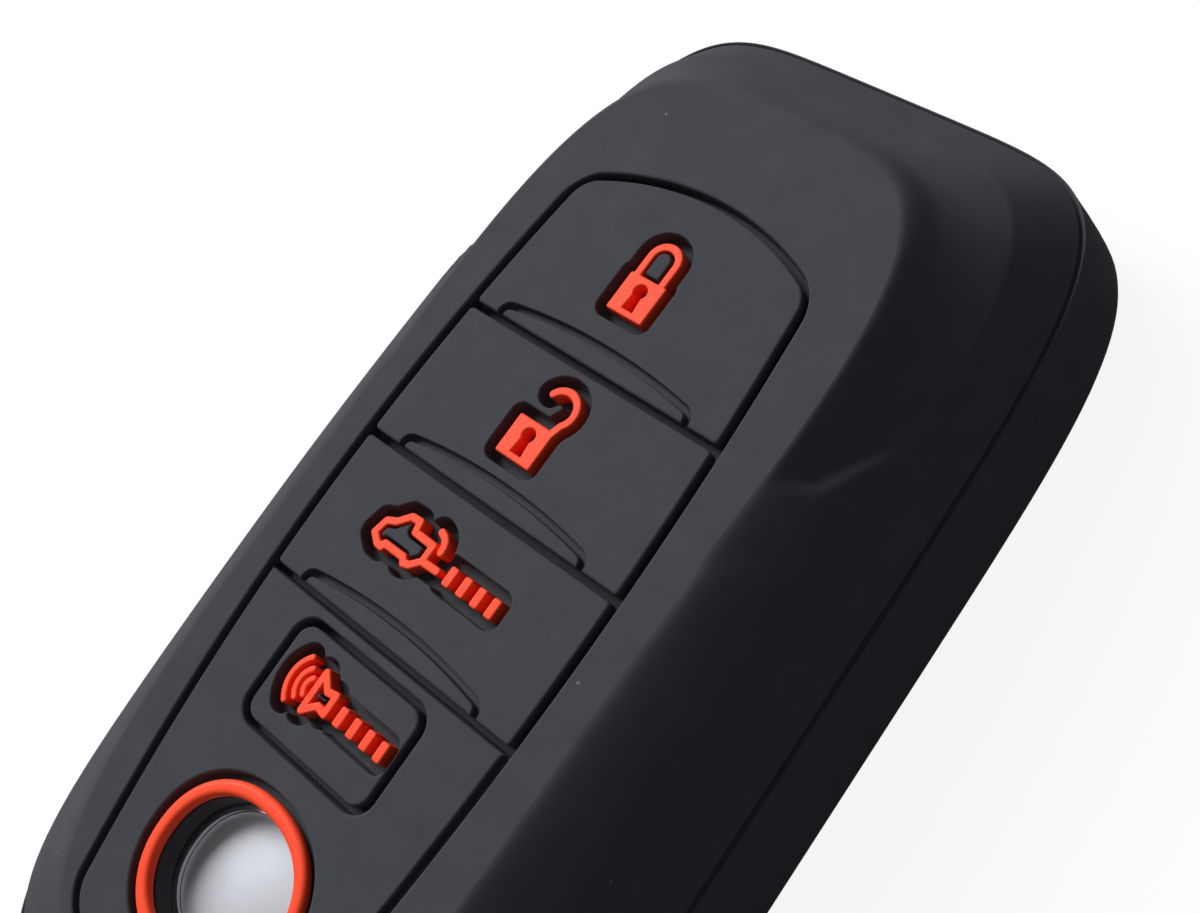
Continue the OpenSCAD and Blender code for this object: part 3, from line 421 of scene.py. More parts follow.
def sheet(
    box, domain, cuts, base, slope=None, loops=(), edges_in=None, domain_step=outline_step,
    spacing=seen_spacing,
):
    """A surface over a plan, as points, normals and triangles, with lines of points along its cuts' edges."""
    points, edges, count = [], [], 0

    def add(p, e):
        nonlocal count
        points.append(np.asarray(p))
        edges.append(np.asarray(e) + count)
        count += len(p)

    for loop in loops:
        add(loop, [(k, (k + 1) % len(loop)) for k in range(len(loop))])
    if edges_in is not None:
        add(*edges_in)
    else:
        add(*contour(domain, 0, box, domain_step))
    for cut in cuts:
        for level in cut.levels():
            if not (cut.floor is None and level == 0):
                add(*contour(cut.field, level, cut.box or box, cut.step))
    gx, gy = np.meshgrid(np.arange(box[0], box[2], spacing), np.arange(box[1], box[3], spacing))
    add(np.stack([gx.ravel(), gy.ravel()], -1), np.zeros((0, 2), int))
    all_points = np.concatenate(points)
    all_edges = np.concatenate(edges).astype(int)
    found = delaunay_2d_cdt([Vector(p) for p in all_points], all_edges.tolist(), [], 1, plan_weld, False)
    plan = np.array([tuple(p) for p in found[0]])
    faces = np.array([f for f in found[2] if len(f) == 3])
    middle = plan[faces].mean(1)
    kept = domain(middle[:, 0], middle[:, 1]) < 0
    for loop in loops:
        kept &= inside_field(middle[:, 0], middle[:, 1], loop)
    faces = faces[kept]
    corner = plan[faces]
    area = np.cross(corner[:, 1] - corner[:, 0], corner[:, 2] - corner[:, 0])
    solid = np.abs(area) > least_area
    faces, area = faces[solid], area[solid]
    faces[area < 0] = faces[area < 0][:, ::-1]
    used = np.unique(faces)
    back = np.full(len(plan), -1)
    back[used] = np.arange(len(used))
    plan, faces = plan[used], back[faces]
    x, y = plan[:, 0], plan[:, 1]
    base_z = base(x, y)
    z = base_z.copy()
    tilt, lean_x, lean_y = np.zeros(len(x)), np.zeros(len(x)), np.zeros(len(x))
    for cut in cuts:
        cut_z, cut_tilt = cut.shape(x, y, base_z)
        lower = cut_z < z - least_drop
        gx, gy = gradient(cut.field, x, y)
        z, tilt = np.where(lower, cut_z, z), np.where(lower, cut_tilt, tilt)
        lean_x, lean_y = np.where(lower, -gx, lean_x), np.where(lower, -gy, lean_y)
    up_y = slope(y) if slope else np.zeros(len(x))
    normals = np.stack([np.sin(tilt) * lean_x, np.sin(tilt) * lean_y + np.cos(tilt) * up_y, np.cos(tilt)], -1)
    normals /= np.linalg.norm(normals, axis=1)[:, None]
    return np.column_stack([x, y, z]), normals, faces


def crown_slope(y):
    return (y - body_shift - middle_groove_y) / crown_r


def open_edges(part):
    """Edges that only one triangle of a part uses, in the direction that triangle runs them."""
    faces = part[2]
    edges = np.concatenate([faces[:, [0, 1]], faces[:, [1, 2]], faces[:, [2, 0]]])
    keys = np.sort(edges, axis=1)
    _, first, counts = np.unique(keys, axis=0, return_index=True, return_counts=True)
    return edges[first[counts == 1]]


def edges_at(part, field):
    """The open edges of a part that lie on a field's outline."""
    edges = open_edges(part)
    return edges[np.abs(field(*part[0][edges[:, 0], :2].T)) < hole_reach]


def skirt(part, edges, foot, field):
    """An upright wall from some open edges of a part down to a foot height, facing away from the part."""
    ids = np.unique(edges)
    back = np.full(len(part[0]), -1)
    back[ids] = np.arange(len(ids))
    top = part[0][ids]
    low = top.copy()
    low[:, 2] = foot(top[:, 0], top[:, 1])
    gx, gy = gradient(field, top[:, 0], top[:, 1])
    normals = np.column_stack([gx, gy, np.zeros(len(ids))])
    e, n = back[edges], len(ids)
    faces = np.concatenate([
        np.stack([e[:, 1], e[:, 0], e[:, 0] + n], -1), np.stack([e[:, 1], e[:, 0] + n, e[:, 1] + n], -1)
    ])
    return np.concatenate([top, low]), np.concatenate([normals, normals]), faces, (top[:, :2], e)


def flipped(part):
    return part[0], -part[1], part[2][:, ::-1]


def height(z):
    return lambda x, y: np.full(np.shape(x), float(z))


def below_face(depth):
    """A floor that follows the crowned face at a depth."""
    return lambda x, y: face_z(y) - depth


def finish_piece(name, parts, material, keep_normals=True):
    """One closed mesh from parts, welded where they meet, with its normals kept or else shaded smooth."""
    points, corners, faces, count = [], [], [], 0
    for part in parts:
        points.append(part[0])
        faces.append(part[2] + count)
        corners.append(part[1][part[2]].reshape(-1, 3))
        count += len(part[0])
    mesh = bpy.data.meshes.new(name)
    mesh.from_pydata((np.concatenate(points) * MM).tolist(), [], np.concatenate(faces).tolist())
    kept = mesh.attributes.new("kept_normal", "FLOAT_VECTOR", "CORNER")
    kept.data.foreach_set("vector", np.concatenate(corners).ravel())
    work = bmesh.new()
    work.from_mesh(mesh)
    bmesh.ops.remove_doubles(work, verts=work.verts, dist=weld_gap_m)
    bmesh.ops.dissolve_degenerate(work, edges=work.edges, dist=weld_gap_m / 4)
    bmesh.ops.holes_fill(work, edges=[e for e in work.edges if len(e.link_faces) == 1])
    bmesh.ops.triangulate(work, faces=[f for f in work.faces if len(f.verts) > 3])
    work.to_mesh(mesh)
    work.free()
    kept = mesh.attributes["kept_normal"]
    values = np.zeros(len(mesh.loops) * 3, np.float32)
    kept.data.foreach_get("vector", values)
    mesh.attributes.remove(kept)
    mesh.shade_smooth()
    if keep_normals:
        mesh.normals_split_custom_set(values.reshape(-1, 3).tolist())
    mesh.materials.append(material)
    piece = bpy.data.objects.new(name, mesh)
    bpy.context.scene.collection.objects.link(piece)
    return piece


def on_panel(field, *rest):
    """A field drawn from the panel's middle, for places in the frame."""
    return lambda x, y: field(*panel_place(x, y), *rest)


def opposite(field):
    return lambda x, y: -field(x, y)


def nearest(*fields):
    return lambda x, y: np.minimum.reduce([f(x, y) for f in fields])


# Marks, each drawn from its own place: padlocks, a car with its tailgate open, a horn with waves, bars
padlock_w, padlock_h, shackle_h = 3.3, 3.1, 3.0
shackle_r = padlock_w / 2 - 0.85 * stroke
shackle_leg = shackle_h - shackle_r - stroke / 2
keyhole_r, keyhole_waist, keyhole_foot = 0.52, 0.3, 0.46
keyhole_top_y, keyhole_foot_y = 0.66 * padlock_h, 0.16 * padlock_h
hook_middle, hook_r, hook_ends = (0.22 * padlock_w, 1.41 * padlock_w), 0.4 * padlock_w, (-45, 150)
shackle_line = (
    [(shackle_r, padlock_h - stroke / 2)]
    + arc((0, padlock_h + shackle_leg), shackle_r, 0, 180)
    + [(-shackle_r, padlock_h - stroke / 2)]
)
hook_line = [(padlock_w / 2 - stroke / 2, padlock_h - stroke / 2)] + arc(hook_middle, hook_r, *hook_ends)
car_l, horn_h = 4.8, 3
car_outline_shares = [
    (0, 0.12), (0.06, 0.35), (0.22, 0.42), (0.39, 0.6), (0.56, 0.61), (0.59, 0.45), (0.98, 0.44),
    (0.98, 0.18), (0.83, 0.03), (0.73, 0), (0.67, 0.07), (0.27, 0.07), (0.25, 0), (0.15, 0.01),
]
tail_bar_shares = [(0.98, 0.18), (1.28, 0.19)]
tailgate_shares = [(0.97, 0.67), (1.05, 0.64), (1.11, 0.59), (1.145, 0.51), (1.15, 0.43)]
horn_outline_shares = [(0, 0.5), (0, -0.5), (0.32, -0.19), (0.59, -0.24), (0.59, 0.24), (0.32, 0.19)]
wave_shares, wave_from, wave_to = (0.3, 0.53, 0.8), 135, 225


def sized(shares, size):
    """An outline's points from shares of its length or height."""
    return [(x * size, y * size) for x, y in shares]


car_outline, tail_bar = sized(car_outline_shares, car_l), sized(tail_bar_shares, car_l)
tailgate, horn_outline = sized(tailgate_shares, car_l), sized(horn_outline_shares, horn_h)
wave_lines = [arc((0, 0), horn_h * share, wave_from, wave_to) for share in wave_shares]
wave_stroke = 0.8 * stroke
bar_count, bar_w, bar_h, bar_row_l = 4, 0.75, 1.5, 4.9
bar_pitch = (bar_row_l - bar_w) / (bar_count - 1)


def padlock_body(x, y):
    up = (y - keyhole_foot_y) / (keyhole_top_y - keyhole_foot_y)
    slot_half = keyhole_foot + (keyhole_waist - keyhole_foot) * up
    slot = np.maximum(np.abs(x) - slot_half, np.maximum(keyhole_foot_y - y, y - keyhole_top_y))
    hole = np.minimum(np.hypot(x, y - keyhole_top_y) - keyhole_r, slot)
    return np.maximum(box_field(x, y - padlock_h / 2, padlock_w, padlock_h, stroke / 4), -hole)


def closed_padlock(x, y):
    return np.minimum(padlock_body(x, y), line_field(x, y, shackle_line) - stroke / 2)


def open_padlock(x, y):
    return np.minimum(padlock_body(x, y), line_field(x, y, hook_line) - stroke / 2)


def car(x, y):
    body = line_field(x, y, car_outline, closed=True)
    return np.minimum(body, np.minimum(line_field(x, y, tail_bar), line_field(x, y, tailgate))) - stroke / 2


def horn(x, y):
    waves = np.minimum.reduce([line_field(x, y, line) for line in wave_lines]) - wave_stroke / 2
    return np.minimum(line_field(x, y, horn_outline, closed=True) - stroke / 2, waves)


def bar(x, y):
    """The first bar of a row, which the row's tree repeats."""
    return box_field(x + (bar_row_l - bar_w) / 2, y, bar_w, bar_h, bar_w / 4)


def bar_plate(x, y):
    """The whole row's outline, for its recess."""
    return box_field(x, y, bar_row_l, bar_h, bar_w / 4)


no_land = 1.0


def island(outline):
    """Less than zero on the land that stays inside a closed outline."""
    def field(x, y):
        land = stroke / 2 + island_gap - line_field(x, y, outline, closed=True)
        return np.where(inside_field(x, y, outline), land, no_land)

    return field


# Each pad's marks: name, field, place in the panel, box about that place, and closed lines with land inside
marks = {
    "lock": [("lock_mark", closed_padlock, (-0.48, groove_1_y + 4.5), (-2, -0.5, 2, 7), [shackle_line])],
    "unlock": [("unlock_mark", open_padlock, (-0.8, middle_groove_y + 3.68), (-2, -0.5, 3, 7), [])],
    "liftgate": [
        ("liftgate_mark", car, (-6.5, groove_3_y + 5.35), (-0.7, -0.7, 6.8, 4), [car_outline]),
        ("liftgate_dashes", bar, (2.9, groove_3_y + 6.5), (-3, -1.2, 3, 1.2), []),
    ],
    "panic": [
        ("panic_mark", horn, (-2.8, panic_y + 0.3), (-3.2, -2.2, 2.4, 2.2), [horn_outline]),
        ("panic_dashes", bar, (2.3, panic_y + 0.15), (-3, -1.2, 3, 1.2), []),
    ],
}
mark_box_margin, recess_box_margin = 0.2, 0.4


def placed(field, place):
    return lambda x, y: field(x - panel_x - place[0], y - body_shift - place[1])


def placed_box(box, place, grow):
    x, y = panel_x + place[0], body_shift + place[1]
    return (x + box[0] - grow, y + box[1] - grow, x + box[2] + grow, y + box[3] + grow)


def ridge_line():
    """The curved line above a dividing groove, turned down to the groove at its ends."""
    bow = ridge_rise - ridge_end_rise
    bow_r = (ridge_half_w ** 2 + bow ** 2) / (2 * bow)

    def rise(x):
        return ridge_rise - bow_r + math.sqrt(bow_r ** 2 - x ** 2)

    end_x, inner_x = ridge_half_w, ridge_half_w - ridge_turn_w
    down, corner = np.array((end_x, rise(end_x) - ridge_turn_w)), np.array((end_x, rise(end_x)))
    across = np.array((inner_x, rise(inner_x)))
    right = [(end_x, -groove_w)]
    right += [tuple(bend(down, corner, across, u)) for u in np.linspace(0, 1, ridge_turn_steps)]
    middle = [(x, rise(x)) for x in np.linspace(inner_x, -inner_x, ridge_bow_steps)][1:-1]
    return right + middle + [(-x, y) for x, y in reversed(right)]


ridge_points = ridge_line()


def ridge_field(x, y, low):
    return line_field(x - ridge_x, y - low, ridge_points) - groove_w / 2


face_box = (-18, -38, 18, 46)
lower_face_gap = 0.4


def lower_groove_field(x, y):
    return np.maximum(np.abs(panel_field(x, y)) - groove_w / 2, y - groove_3_y - lower_face_gap)


def make_front_shell(material):
    """The front shell: face with its grooves, ledges and openings, rounded edge, side, tongue and hollow."""
    openings = [
        on_panel(panel_part_field, groove_3_y, panel_top_y + top_beyond, groove_w / 2, opening_corner_r),
        on_panel(panic_field, groove_w / 2),
        on_panel(window_field, bead_gap),
    ]
    hole = nearest(
        *[on_panel(panel_part_field, pad_lows[k], pad_highs[k], groove_w / 2 - ledge_w) for k in pad_lows],
        on_panel(panic_field, groove_w / 2 - panic_ledge_share * ledge_w),
        on_panel(window_field, -bead_t),
    )
    floors = [height(ledge_z), height(ledge_z), below_face(bead_seat)]
    cuts = [Cut(f, floor) for f, floor in zip(openings, floors)]
    cuts.append(Cut(on_panel(lower_groove_field), below_face(groove_depth)))
    edge = edge_rings()
    sides = [side_ring(s) for s in np.linspace(edge_end_share, 1, side_steps)[1:]]
    turn_r = seam_r * seam_middle_share
    seam_top, seam_middle = wall_ring(0, joint_z + seam_r), wall_ring(turn_r, joint_z + turn_r)
    seam = wall_ring(seam_r, joint_z)
    tip = joint_z - tongue_l
    rim, tongue = wall_ring(side_wall - tongue_t, joint_z), wall_ring(side_wall - tongue_t, tip)
    inside = cap_rings(side_wall, face_skin, tip)
    face = sheet(
        face_box, opposite(hole), cuts, below_face(0), crown_slope, loops=[edge[0][:, :2]],
        edges_in=contour(opposite(hole), 0, face_box, outline_step),
    )
    ledge_wall = skirt(face, edges_at(face, hole), below_face(face_skin), opposite(hole))
    under = sheet(
        face_box, opposite(hole), [], below_face(face_skin), crown_slope,
        loops=[inside[0][:, :2]], edges_in=ledge_wall[3], spacing=hidden_spacing,
    )
    parts = [
        face, band(edge + sides + [seam_top]), band([seam_top, seam_middle, seam]), band([seam, rim]),
        band([rim, tongue]), band([tongue, inside[3]]), band(inside[::-1]), ledge_wall[:3], flipped(under),
    ]
    return finish_piece("cover_front", parts, material)


def rear_ring(insets, z):
    """A ring of the rear shell's outside, inside the widest outline by insets across and along."""
    return lifted(oval(half_w - insets[0], half_l - insets[1], side_square, taper_share), z)


def quarter_turn(inset, z, r):
    """Insets and heights round a quarter circle, from an upright side down to a flat."""
    return [
        (inset + r * (1 - math.cos(t)), z + r * (1 - math.sin(t)))
        for t in np.linspace(0, math.pi / 2, corner_steps)
    ]


def back_hole_field(x, y):
    return box_field(x, y - body_shift, back_open_w, back_open_l, back_open_r)


def make_rear_shell(material):
    """The rear shell: coved lip under the joint, curved side, rounded foot, rebate, tray and open back."""
    cove_r = lip_proud / 2
    lip = [
        rear_ring([i - cove_r * (2 - math.cos(t)) for i in joint_in], joint_z - cove_r * (1 - math.sin(t)))
        for t in np.linspace(0, math.pi / 2, lip_steps)
    ]
    lip_in, lip_z = [i - lip_proud for i in joint_in], joint_z - cove_r
    wall = [
        rear_ring(
            (lip_in[0] * (1 - g) ** rear_side_power, lip_in[1] * (1 - g)), lip_z + (widest_h - lip_z) * g
        )
        for g in np.linspace(0, 1, rear_steps)[1:]
    ]
    foot = [rear_ring((inset, inset), z) for inset, z in quarter_turn(0, 0, foot_r)]
    tray = [wall_ring(inset, z) for inset, z in quarter_turn(side_wall, back_skin, back_round)][::-1]
    rebate_in = side_wall - tongue_t - 2 * slip
    rebate_z = joint_z - tongue_l - 2 * slip
    wall_top, rebate = wall_ring(side_wall, rebate_z), wall_ring(rebate_in, rebate_z)
    rim = wall_ring(rebate_in, joint_z)
    box = (-half_w, body_shift - half_l, half_w, body_shift + half_l)
    beside_hole = opposite(back_hole_field)

    def plate(z, rim_ring, hole_edges):
        return sheet(
            box, beside_hole, [], height(z), loops=[rim_ring[:, :2]], edges_in=hole_edges,
            spacing=back_spacing,
        )

    floor = plate(back_skin, tray[0], contour(beside_hole, 0, box, back_step))
    hole_wall = skirt(floor, edges_at(floor, back_hole_field), height(0), beside_hole)
    back = plate(0, foot[-1], hole_wall[3])
    parts = [
        floor, hole_wall[:3], flipped(back), band(tray + [wall_top]), band([wall_top, rebate]),
        band([rebate, rim]), band([rim, lip[0]]), band(lip + wall + foot),
    ]
    return with_notch(finish_piece("cover_rear", parts, material, keep_normals=False))


def with_notch(piece):
    """Cuts the open-topped notch for the key head out of the rear shell's lower end."""
    low = Vector((-key_notch_w / 2, body_shift - 1.5 * half_l, key_notch_z)) * MM
    high = Vector((key_notch_w / 2, body_shift - half_l / 2, joint_z + key_notch_beyond)) * MM
    bpy.ops.mesh.primitive_cube_add(size=1, location=(low + high) / 2)
    cutter = bpy.context.object
    cutter.scale = high - low
    cut = piece.modifiers.new("notch", "BOOLEAN")
    cut.operation, cut.solver, cut.object = "DIFFERENCE", "EXACT", cutter
    apply_modifiers(piece)
    bpy.data.objects.remove(cutter)
    piece.data.set_sharp_from_angle(angle=crease_angle)
    return piece


def apply_modifiers(piece):
    """Gives a piece the mesh that its modifiers make, and takes the modifiers off."""
    bpy.context.view_layer.update()
    shaped = bpy.data.meshes.new_from_object(piece.evaluated_get(bpy.context.evaluated_depsgraph_get()))
    piece.modifiers.clear()
    piece.data = shaped


# Node trees: a node of any tree, and Geometry Nodes trees with named inputs and the pieces that they make
def add_node(tree, kind, settings=None, **inputs):
    """A node with some settings, whose inputs take values or other nodes' outputs by name."""
    node = tree.nodes.new(kind)
    for key, value in (settings or {}).items():
        setattr(node, key, value)
    for key, value in inputs.items():
        socket = node.inputs[key.replace("_", " ")]
        if isinstance(value, bpy.types.NodeSocket):
            tree.links.new(value, socket)
        else:
            socket.default_value = value
    return node


def math_node(tree, operation, first, second):
    node = add_node(tree, "ShaderNodeMath", {"operation": operation})
    for socket, value in zip(node.inputs, (first, second)):
        if isinstance(value, (int, float)):
            socket.default_value = value
        else:
            tree.links.new(value, socket)
    return node.outputs[0]


def geometry_group(name, inputs):
    tree = bpy.data.node_groups.new(name, "GeometryNodeTree")
    tree.interface.new_socket("Geometry", in_out="INPUT", socket_type="NodeSocketGeometry")
    for label, kind in inputs:
        tree.interface.new_socket(label, in_out="INPUT", socket_type="NodeSocket" + kind)
    tree.interface.new_socket("Geometry", in_out="OUTPUT", socket_type="NodeSocketGeometry")
    return tree, tree.nodes.new("NodeGroupInput").outputs


def finish_tree(tree, geometry, material):
    """Ends a tree in Realize Instances and Set Material."""
    real = add_node(tree, "GeometryNodeRealizeInstances", Geometry=geometry)
    dressed = add_node(tree, "GeometryNodeSetMaterial", Geometry=real.outputs[0], Material=material)
    tree.links.new(dressed.outputs[0], tree.nodes.new("NodeGroupOutput").inputs[0])
    return tree


def grown_piece(name, tree, values):
    """A plain mesh that a tree makes from its inputs' values."""
    piece = bpy.data.objects.new(name, bpy.data.meshes.new(name))
    bpy.context.scene.collection.objects.link(piece)
    maker = piece.modifiers.new("maker", "NODES")
    maker.node_group = tree
    for item in tree.interface.items_tree:
        if item.in_out == "INPUT" and item.name in values:
            maker[item.identifier] = values[item.name]
    apply_modifiers(piece)
    piece.data.shade_smooth()
    return piece


def bead_tree():
    """A closed bead along a squared oval that follows the crown of the face."""
    tree, given = geometry_group("oval_bead", [
        ("Half Width", "Float"), ("Half Length", "Float"), ("Squareness", "Float"), ("Thickness", "Float"),
        ("Height", "Float"), ("Rounding", "Float"), ("Centre", "Vector"), ("Crown Radius", "Float"),
        ("Crown Place", "Float"), ("Material", "Material"),
    ])

    def calc(operation, first, second):
        return math_node(tree, operation, first, second)

    position = add_node(tree, "GeometryNodeInputPosition").outputs[0]
    place, square = add_node(tree, "ShaderNodeSeparateXYZ", Vector=position), given["Squareness"]
    powers = [calc("POWER", calc("ABSOLUTE", place.outputs[k], 0.0), square) for k in (0, 1)]
    reach = calc("POWER", calc("ADD", *powers), calc("DIVIDE", -1.0, square))
    half_t = calc("MULTIPLY", given["Thickness"], 0.5)
    sides = [
        calc("MULTIPLY", calc("MULTIPLY", place.outputs[k], reach), calc("SUBTRACT", given[half], half_t))
        for k, half in ((0, "Half Width"), (1, "Half Length"))
    ]
    circle = add_node(tree, "GeometryNodeCurvePrimitiveCircle", Resolution=bead_points, Radius=1.0)
    line = add_node(
        tree, "GeometryNodeSetPosition", Geometry=circle.outputs[0],
        Position=add_node(tree, "ShaderNodeCombineXYZ", X=sides[0], Y=sides[1]).outputs[0],
    )
    profile = add_node(
        tree, "GeometryNodeCurvePrimitiveQuadrilateral", Width=given["Thickness"], Height=given["Height"],
    )
    profile = add_node(
        tree, "GeometryNodeFilletCurve", {"mode": "POLY"},
        Curve=profile.outputs[0], Count=bead_corner_points, Radius=given["Rounding"],
    )
    ring = add_node(tree, "GeometryNodeCurveToMesh", Curve=line.outputs[0], Profile_Curve=profile.outputs[0])
    centre = add_node(tree, "ShaderNodeSeparateXYZ", Vector=given["Centre"])
    away = calc("SUBTRACT", calc("ADD", place.outputs[1], centre.outputs[1]), given["Crown Place"])
    sag = calc("DIVIDE", calc("MULTIPLY", away, away), calc("MULTIPLY", given["Crown Radius"], 2.0))
    offset = add_node(
        tree, "ShaderNodeCombineXYZ", X=centre.outputs[0], Y=centre.outputs[1],
        Z=calc("SUBTRACT", centre.outputs[2], sag),
    )
    crowned = add_node(tree, "GeometryNodeSetPosition", Geometry=ring.outputs[0], Offset=offset.outputs[0])
    return finish_tree(tree, crowned.outputs[0], given["Material"])


def row_tree():
    """One piece repeated along a row."""
    tree, given = geometry_group("row", [
        ("Piece", "Object"), ("Count", "Int"), ("Pitch", "Float"), ("Material", "Material"),
    ])
    step = add_node(tree, "ShaderNodeCombineXYZ", X=given["Pitch"])
    line = add_node(tree, "GeometryNodeMeshLine", Count=given["Count"], Offset=step.outputs[0])
    piece = add_node(tree, "GeometryNodeObjectInfo", Object=given["Piece"])
    row = add_node(
        tree, "GeometryNodeInstanceOnPoints", Points=line.outputs[0], Instance=piece.outputs["Geometry"],
    )
    return finish_tree(tree, row.outputs[0], given["Material"])


# Half the width and length of the box in which a pad's outline is looked for
pad_reach_x, pad_reach_y = 14, 9


def make_pad(name, domain, block, centre, nub, material, face_cuts):
    """A soft pad: crowned top, rounded edge, and under it a block with a nub that reaches down to its key."""
    box = (
        centre[0] - pad_reach_x, centre[1] - pad_reach_y, centre[0] + pad_reach_x, centre[1] + pad_reach_y,
    )

    def nub_field(x, y):
        return box_field(x - panel_x, y - centre[1], *nub, nub_corner_r)

    cuts = [Cut(opposite(domain), None)] + face_cuts
    top = sheet(box, domain, cuts, below_face(0), crown_slope)
    wall = skirt(top, open_edges(top), height(flange_z), domain)
    under_cuts = [
        Cut(block, height(block_z), block_edge_r, fillet=hidden_fillet),
        Cut(nub_field, height(nub_z), nub_edge_r, fillet=hidden_fillet),
    ]
    under = sheet(box, domain, under_cuts, height(flange_z), edges_in=wall[3], spacing=hidden_spacing)
    return finish_piece(name, [top, wall[:3], flipped(under)], material)


def make_mark(name, field, place, box, material):
    """A mark with soft edges that stands on the floor of its recess."""
    domain = placed(field, place)
    box = placed_box(box, place, mark_box_margin)
    rounding = Cut(opposite(domain), None, mark_edge_r, mark_step)
    top = sheet(
        box, domain, [rounding], below_face(slip / 2), crown_slope, domain_step=mark_step,
        spacing=mark_spacing,
    )
    foot = below_face(mark_depth)
    wall = skirt(top, open_edges(top), foot, domain)
    under = sheet(box, domain, [], foot, crown_slope, edges_in=wall[3], spacing=mark_spacing)
    return finish_piece(name, [top, wall[:3], flipped(under)], material)


def recess_field(field, place, outlines):
    """A mark's recess, a gap wider than the mark, with the land inside its closed lines left standing."""
    own = placed(bar_plate if field is bar else field, place)
    islands = [placed(island(outline), place) for outline in outlines]

    def recess(x, y):
        c = own(x, y) - mark_gap
        return np.maximum(c, -nearest(*islands)(x, y)) if islands else c

    return recess


def recess_cut(pad):
    """One cut with the recesses of all of a pad's marks."""
    fields = [recess_field(field, place, outlines) for _, field, place, _, outlines in marks[pad]]
    boxes = [placed_box(box, place, mark_gap + recess_box_margin) for _, _, place, box, _ in marks[pad]]
    box = tuple(min(b[k] for b in boxes) for k in (0, 1)) + tuple(max(b[k] for b in boxes) for k in (2, 3))
    return Cut(nearest(*fields), below_face(mark_depth), recess_edge_r, mark_step, box=box)


# Shader node groups shared by the finishes
def shader_group(name, inputs, outputs):
    group = bpy.data.node_groups.new(name, "ShaderNodeTree")
    for label, value in inputs:
        socket = group.interface.new_socket(label, in_out="INPUT", socket_type="NodeSocketFloat")
        socket.default_value = value
    for label in outputs:
        group.interface.new_socket(label, in_out="OUTPUT", socket_type="NodeSocketFloat")
    return group, group.nodes.new("NodeGroupInput"), group.nodes.new("NodeGroupOutput")


noise_roughness = 0.6


def make_grain_group():
    """Fine moulded grain: a height, and a mottle from 0 to 1 that varies more slowly."""
    group, inputs, outputs = shader_group(
        "moulded_grain", [("Grain Scale", 9000.0), ("Mottle Scale", 350.0)], ["Height", "Mottle"]
    )
    place = group.nodes.new("ShaderNodeTexCoord").outputs["Object"]
    for source, target, detail in (("Grain Scale", "Height", 3), ("Mottle Scale", "Mottle", 4)):
        noise = add_node(
            group, "ShaderNodeTexNoise", Vector=place, Scale=inputs.outputs[source], Detail=detail,
            Roughness=noise_roughness,
        )
        group.links.new(noise.outputs["Fac"], outputs.inputs[target])
    return group


def make_dust_group():
    """Sparse specks of dust: 1 on a speck and 0 beside it."""
    group, inputs, outputs = shader_group(
        "dust_specks", [("Scale", 700.0), ("Share", 0.06), ("Size", 0.09)], ["Mask"]
    )
    place = group.nodes.new("ShaderNodeTexCoord").outputs["Object"]
    cells = add_node(group, "ShaderNodeTexVoronoi", Vector=place, Scale=inputs.outputs["Scale"])
    split = add_node(group, "ShaderNodeSeparateColor", Color=cells.outputs["Color"])
    chosen = math_node(group, "LESS_THAN", split.outputs[0], inputs.outputs["Share"])
    size = math_node(group, "MULTIPLY", split.outputs[1], inputs.outputs["Size"])
    near = math_node(group, "LESS_THAN", cells.outputs["Distance"], size)
    group.links.new(math_node(group, "MULTIPLY", chosen, near), outputs.inputs["Mask"])
    return group


grain_group, dust_group = make_grain_group(), make_dust_group()

# The looks of the finishes, in linear colours
grain_depth = 0.02 * MM
mottle_from, mottle_to = 0.3, 0.7
dust_color = (0.14, 0.14, 0.145)


def moulded_material(
    name, color, roughness, mottle, bump, grain_scale=9000.0, specular=0.5, metallic=0.0, dust=0.0,
    roughness_spread=0.1, coat=0.0,
):
    """A moulded or rolled finish: uneven colour, a fine grain in height and gloss, and dust where asked."""
    material = bpy.data.materials.new(name)
    material.use_nodes = True
    tree = material.node_tree
    shader = tree.nodes["Principled BSDF"]
    shader.inputs["Metallic"].default_value = metallic
    shader.inputs["Specular IOR Level"].default_value = specular
    shader.inputs["Coat Weight"].default_value = coat
    grain = add_node(tree, "ShaderNodeGroup", {"node_tree": grain_group}, Grain_Scale=grain_scale)
    tone = add_node(tree, "ShaderNodeValToRGB", Fac=grain.outputs["Mottle"])
    darker, lighter = tone.color_ramp.elements
    darker.position, lighter.position = mottle_from, mottle_to
    darker.color = (*[c * (1 - mottle) for c in color], 1)
    lighter.color = (*[min(1, c * (1 + mottle)) for c in color], 1)
    surface = tone.outputs["Color"]
    if dust:
        specks = add_node(tree, "ShaderNodeGroup", {"node_tree": dust_group}, Share=dust)
        mix = add_node(
            tree, "ShaderNodeMix", {"data_type": "RGBA"},
            Factor=specks.outputs["Mask"], A=surface, B=(*dust_color, 1),
        )
        surface = mix.outputs["Result"]
    tree.links.new(surface, shader.inputs["Base Color"])
    gloss = add_node(
        tree, "ShaderNodeMapRange", Value=grain.outputs["Height"], To_Min=roughness - roughness_spread,
        To_Max=min(1, roughness + roughness_spread),
    )
    tree.links.new(gloss.outputs["Result"], shader.inputs["Roughness"])
    relief = add_node(
        tree, "ShaderNodeBump", Strength=bump, Distance=grain_depth, Height=grain.outputs["Height"],
    )
    tree.links.new(relief.outputs["Normal"], shader.inputs["Normal"])
    return material


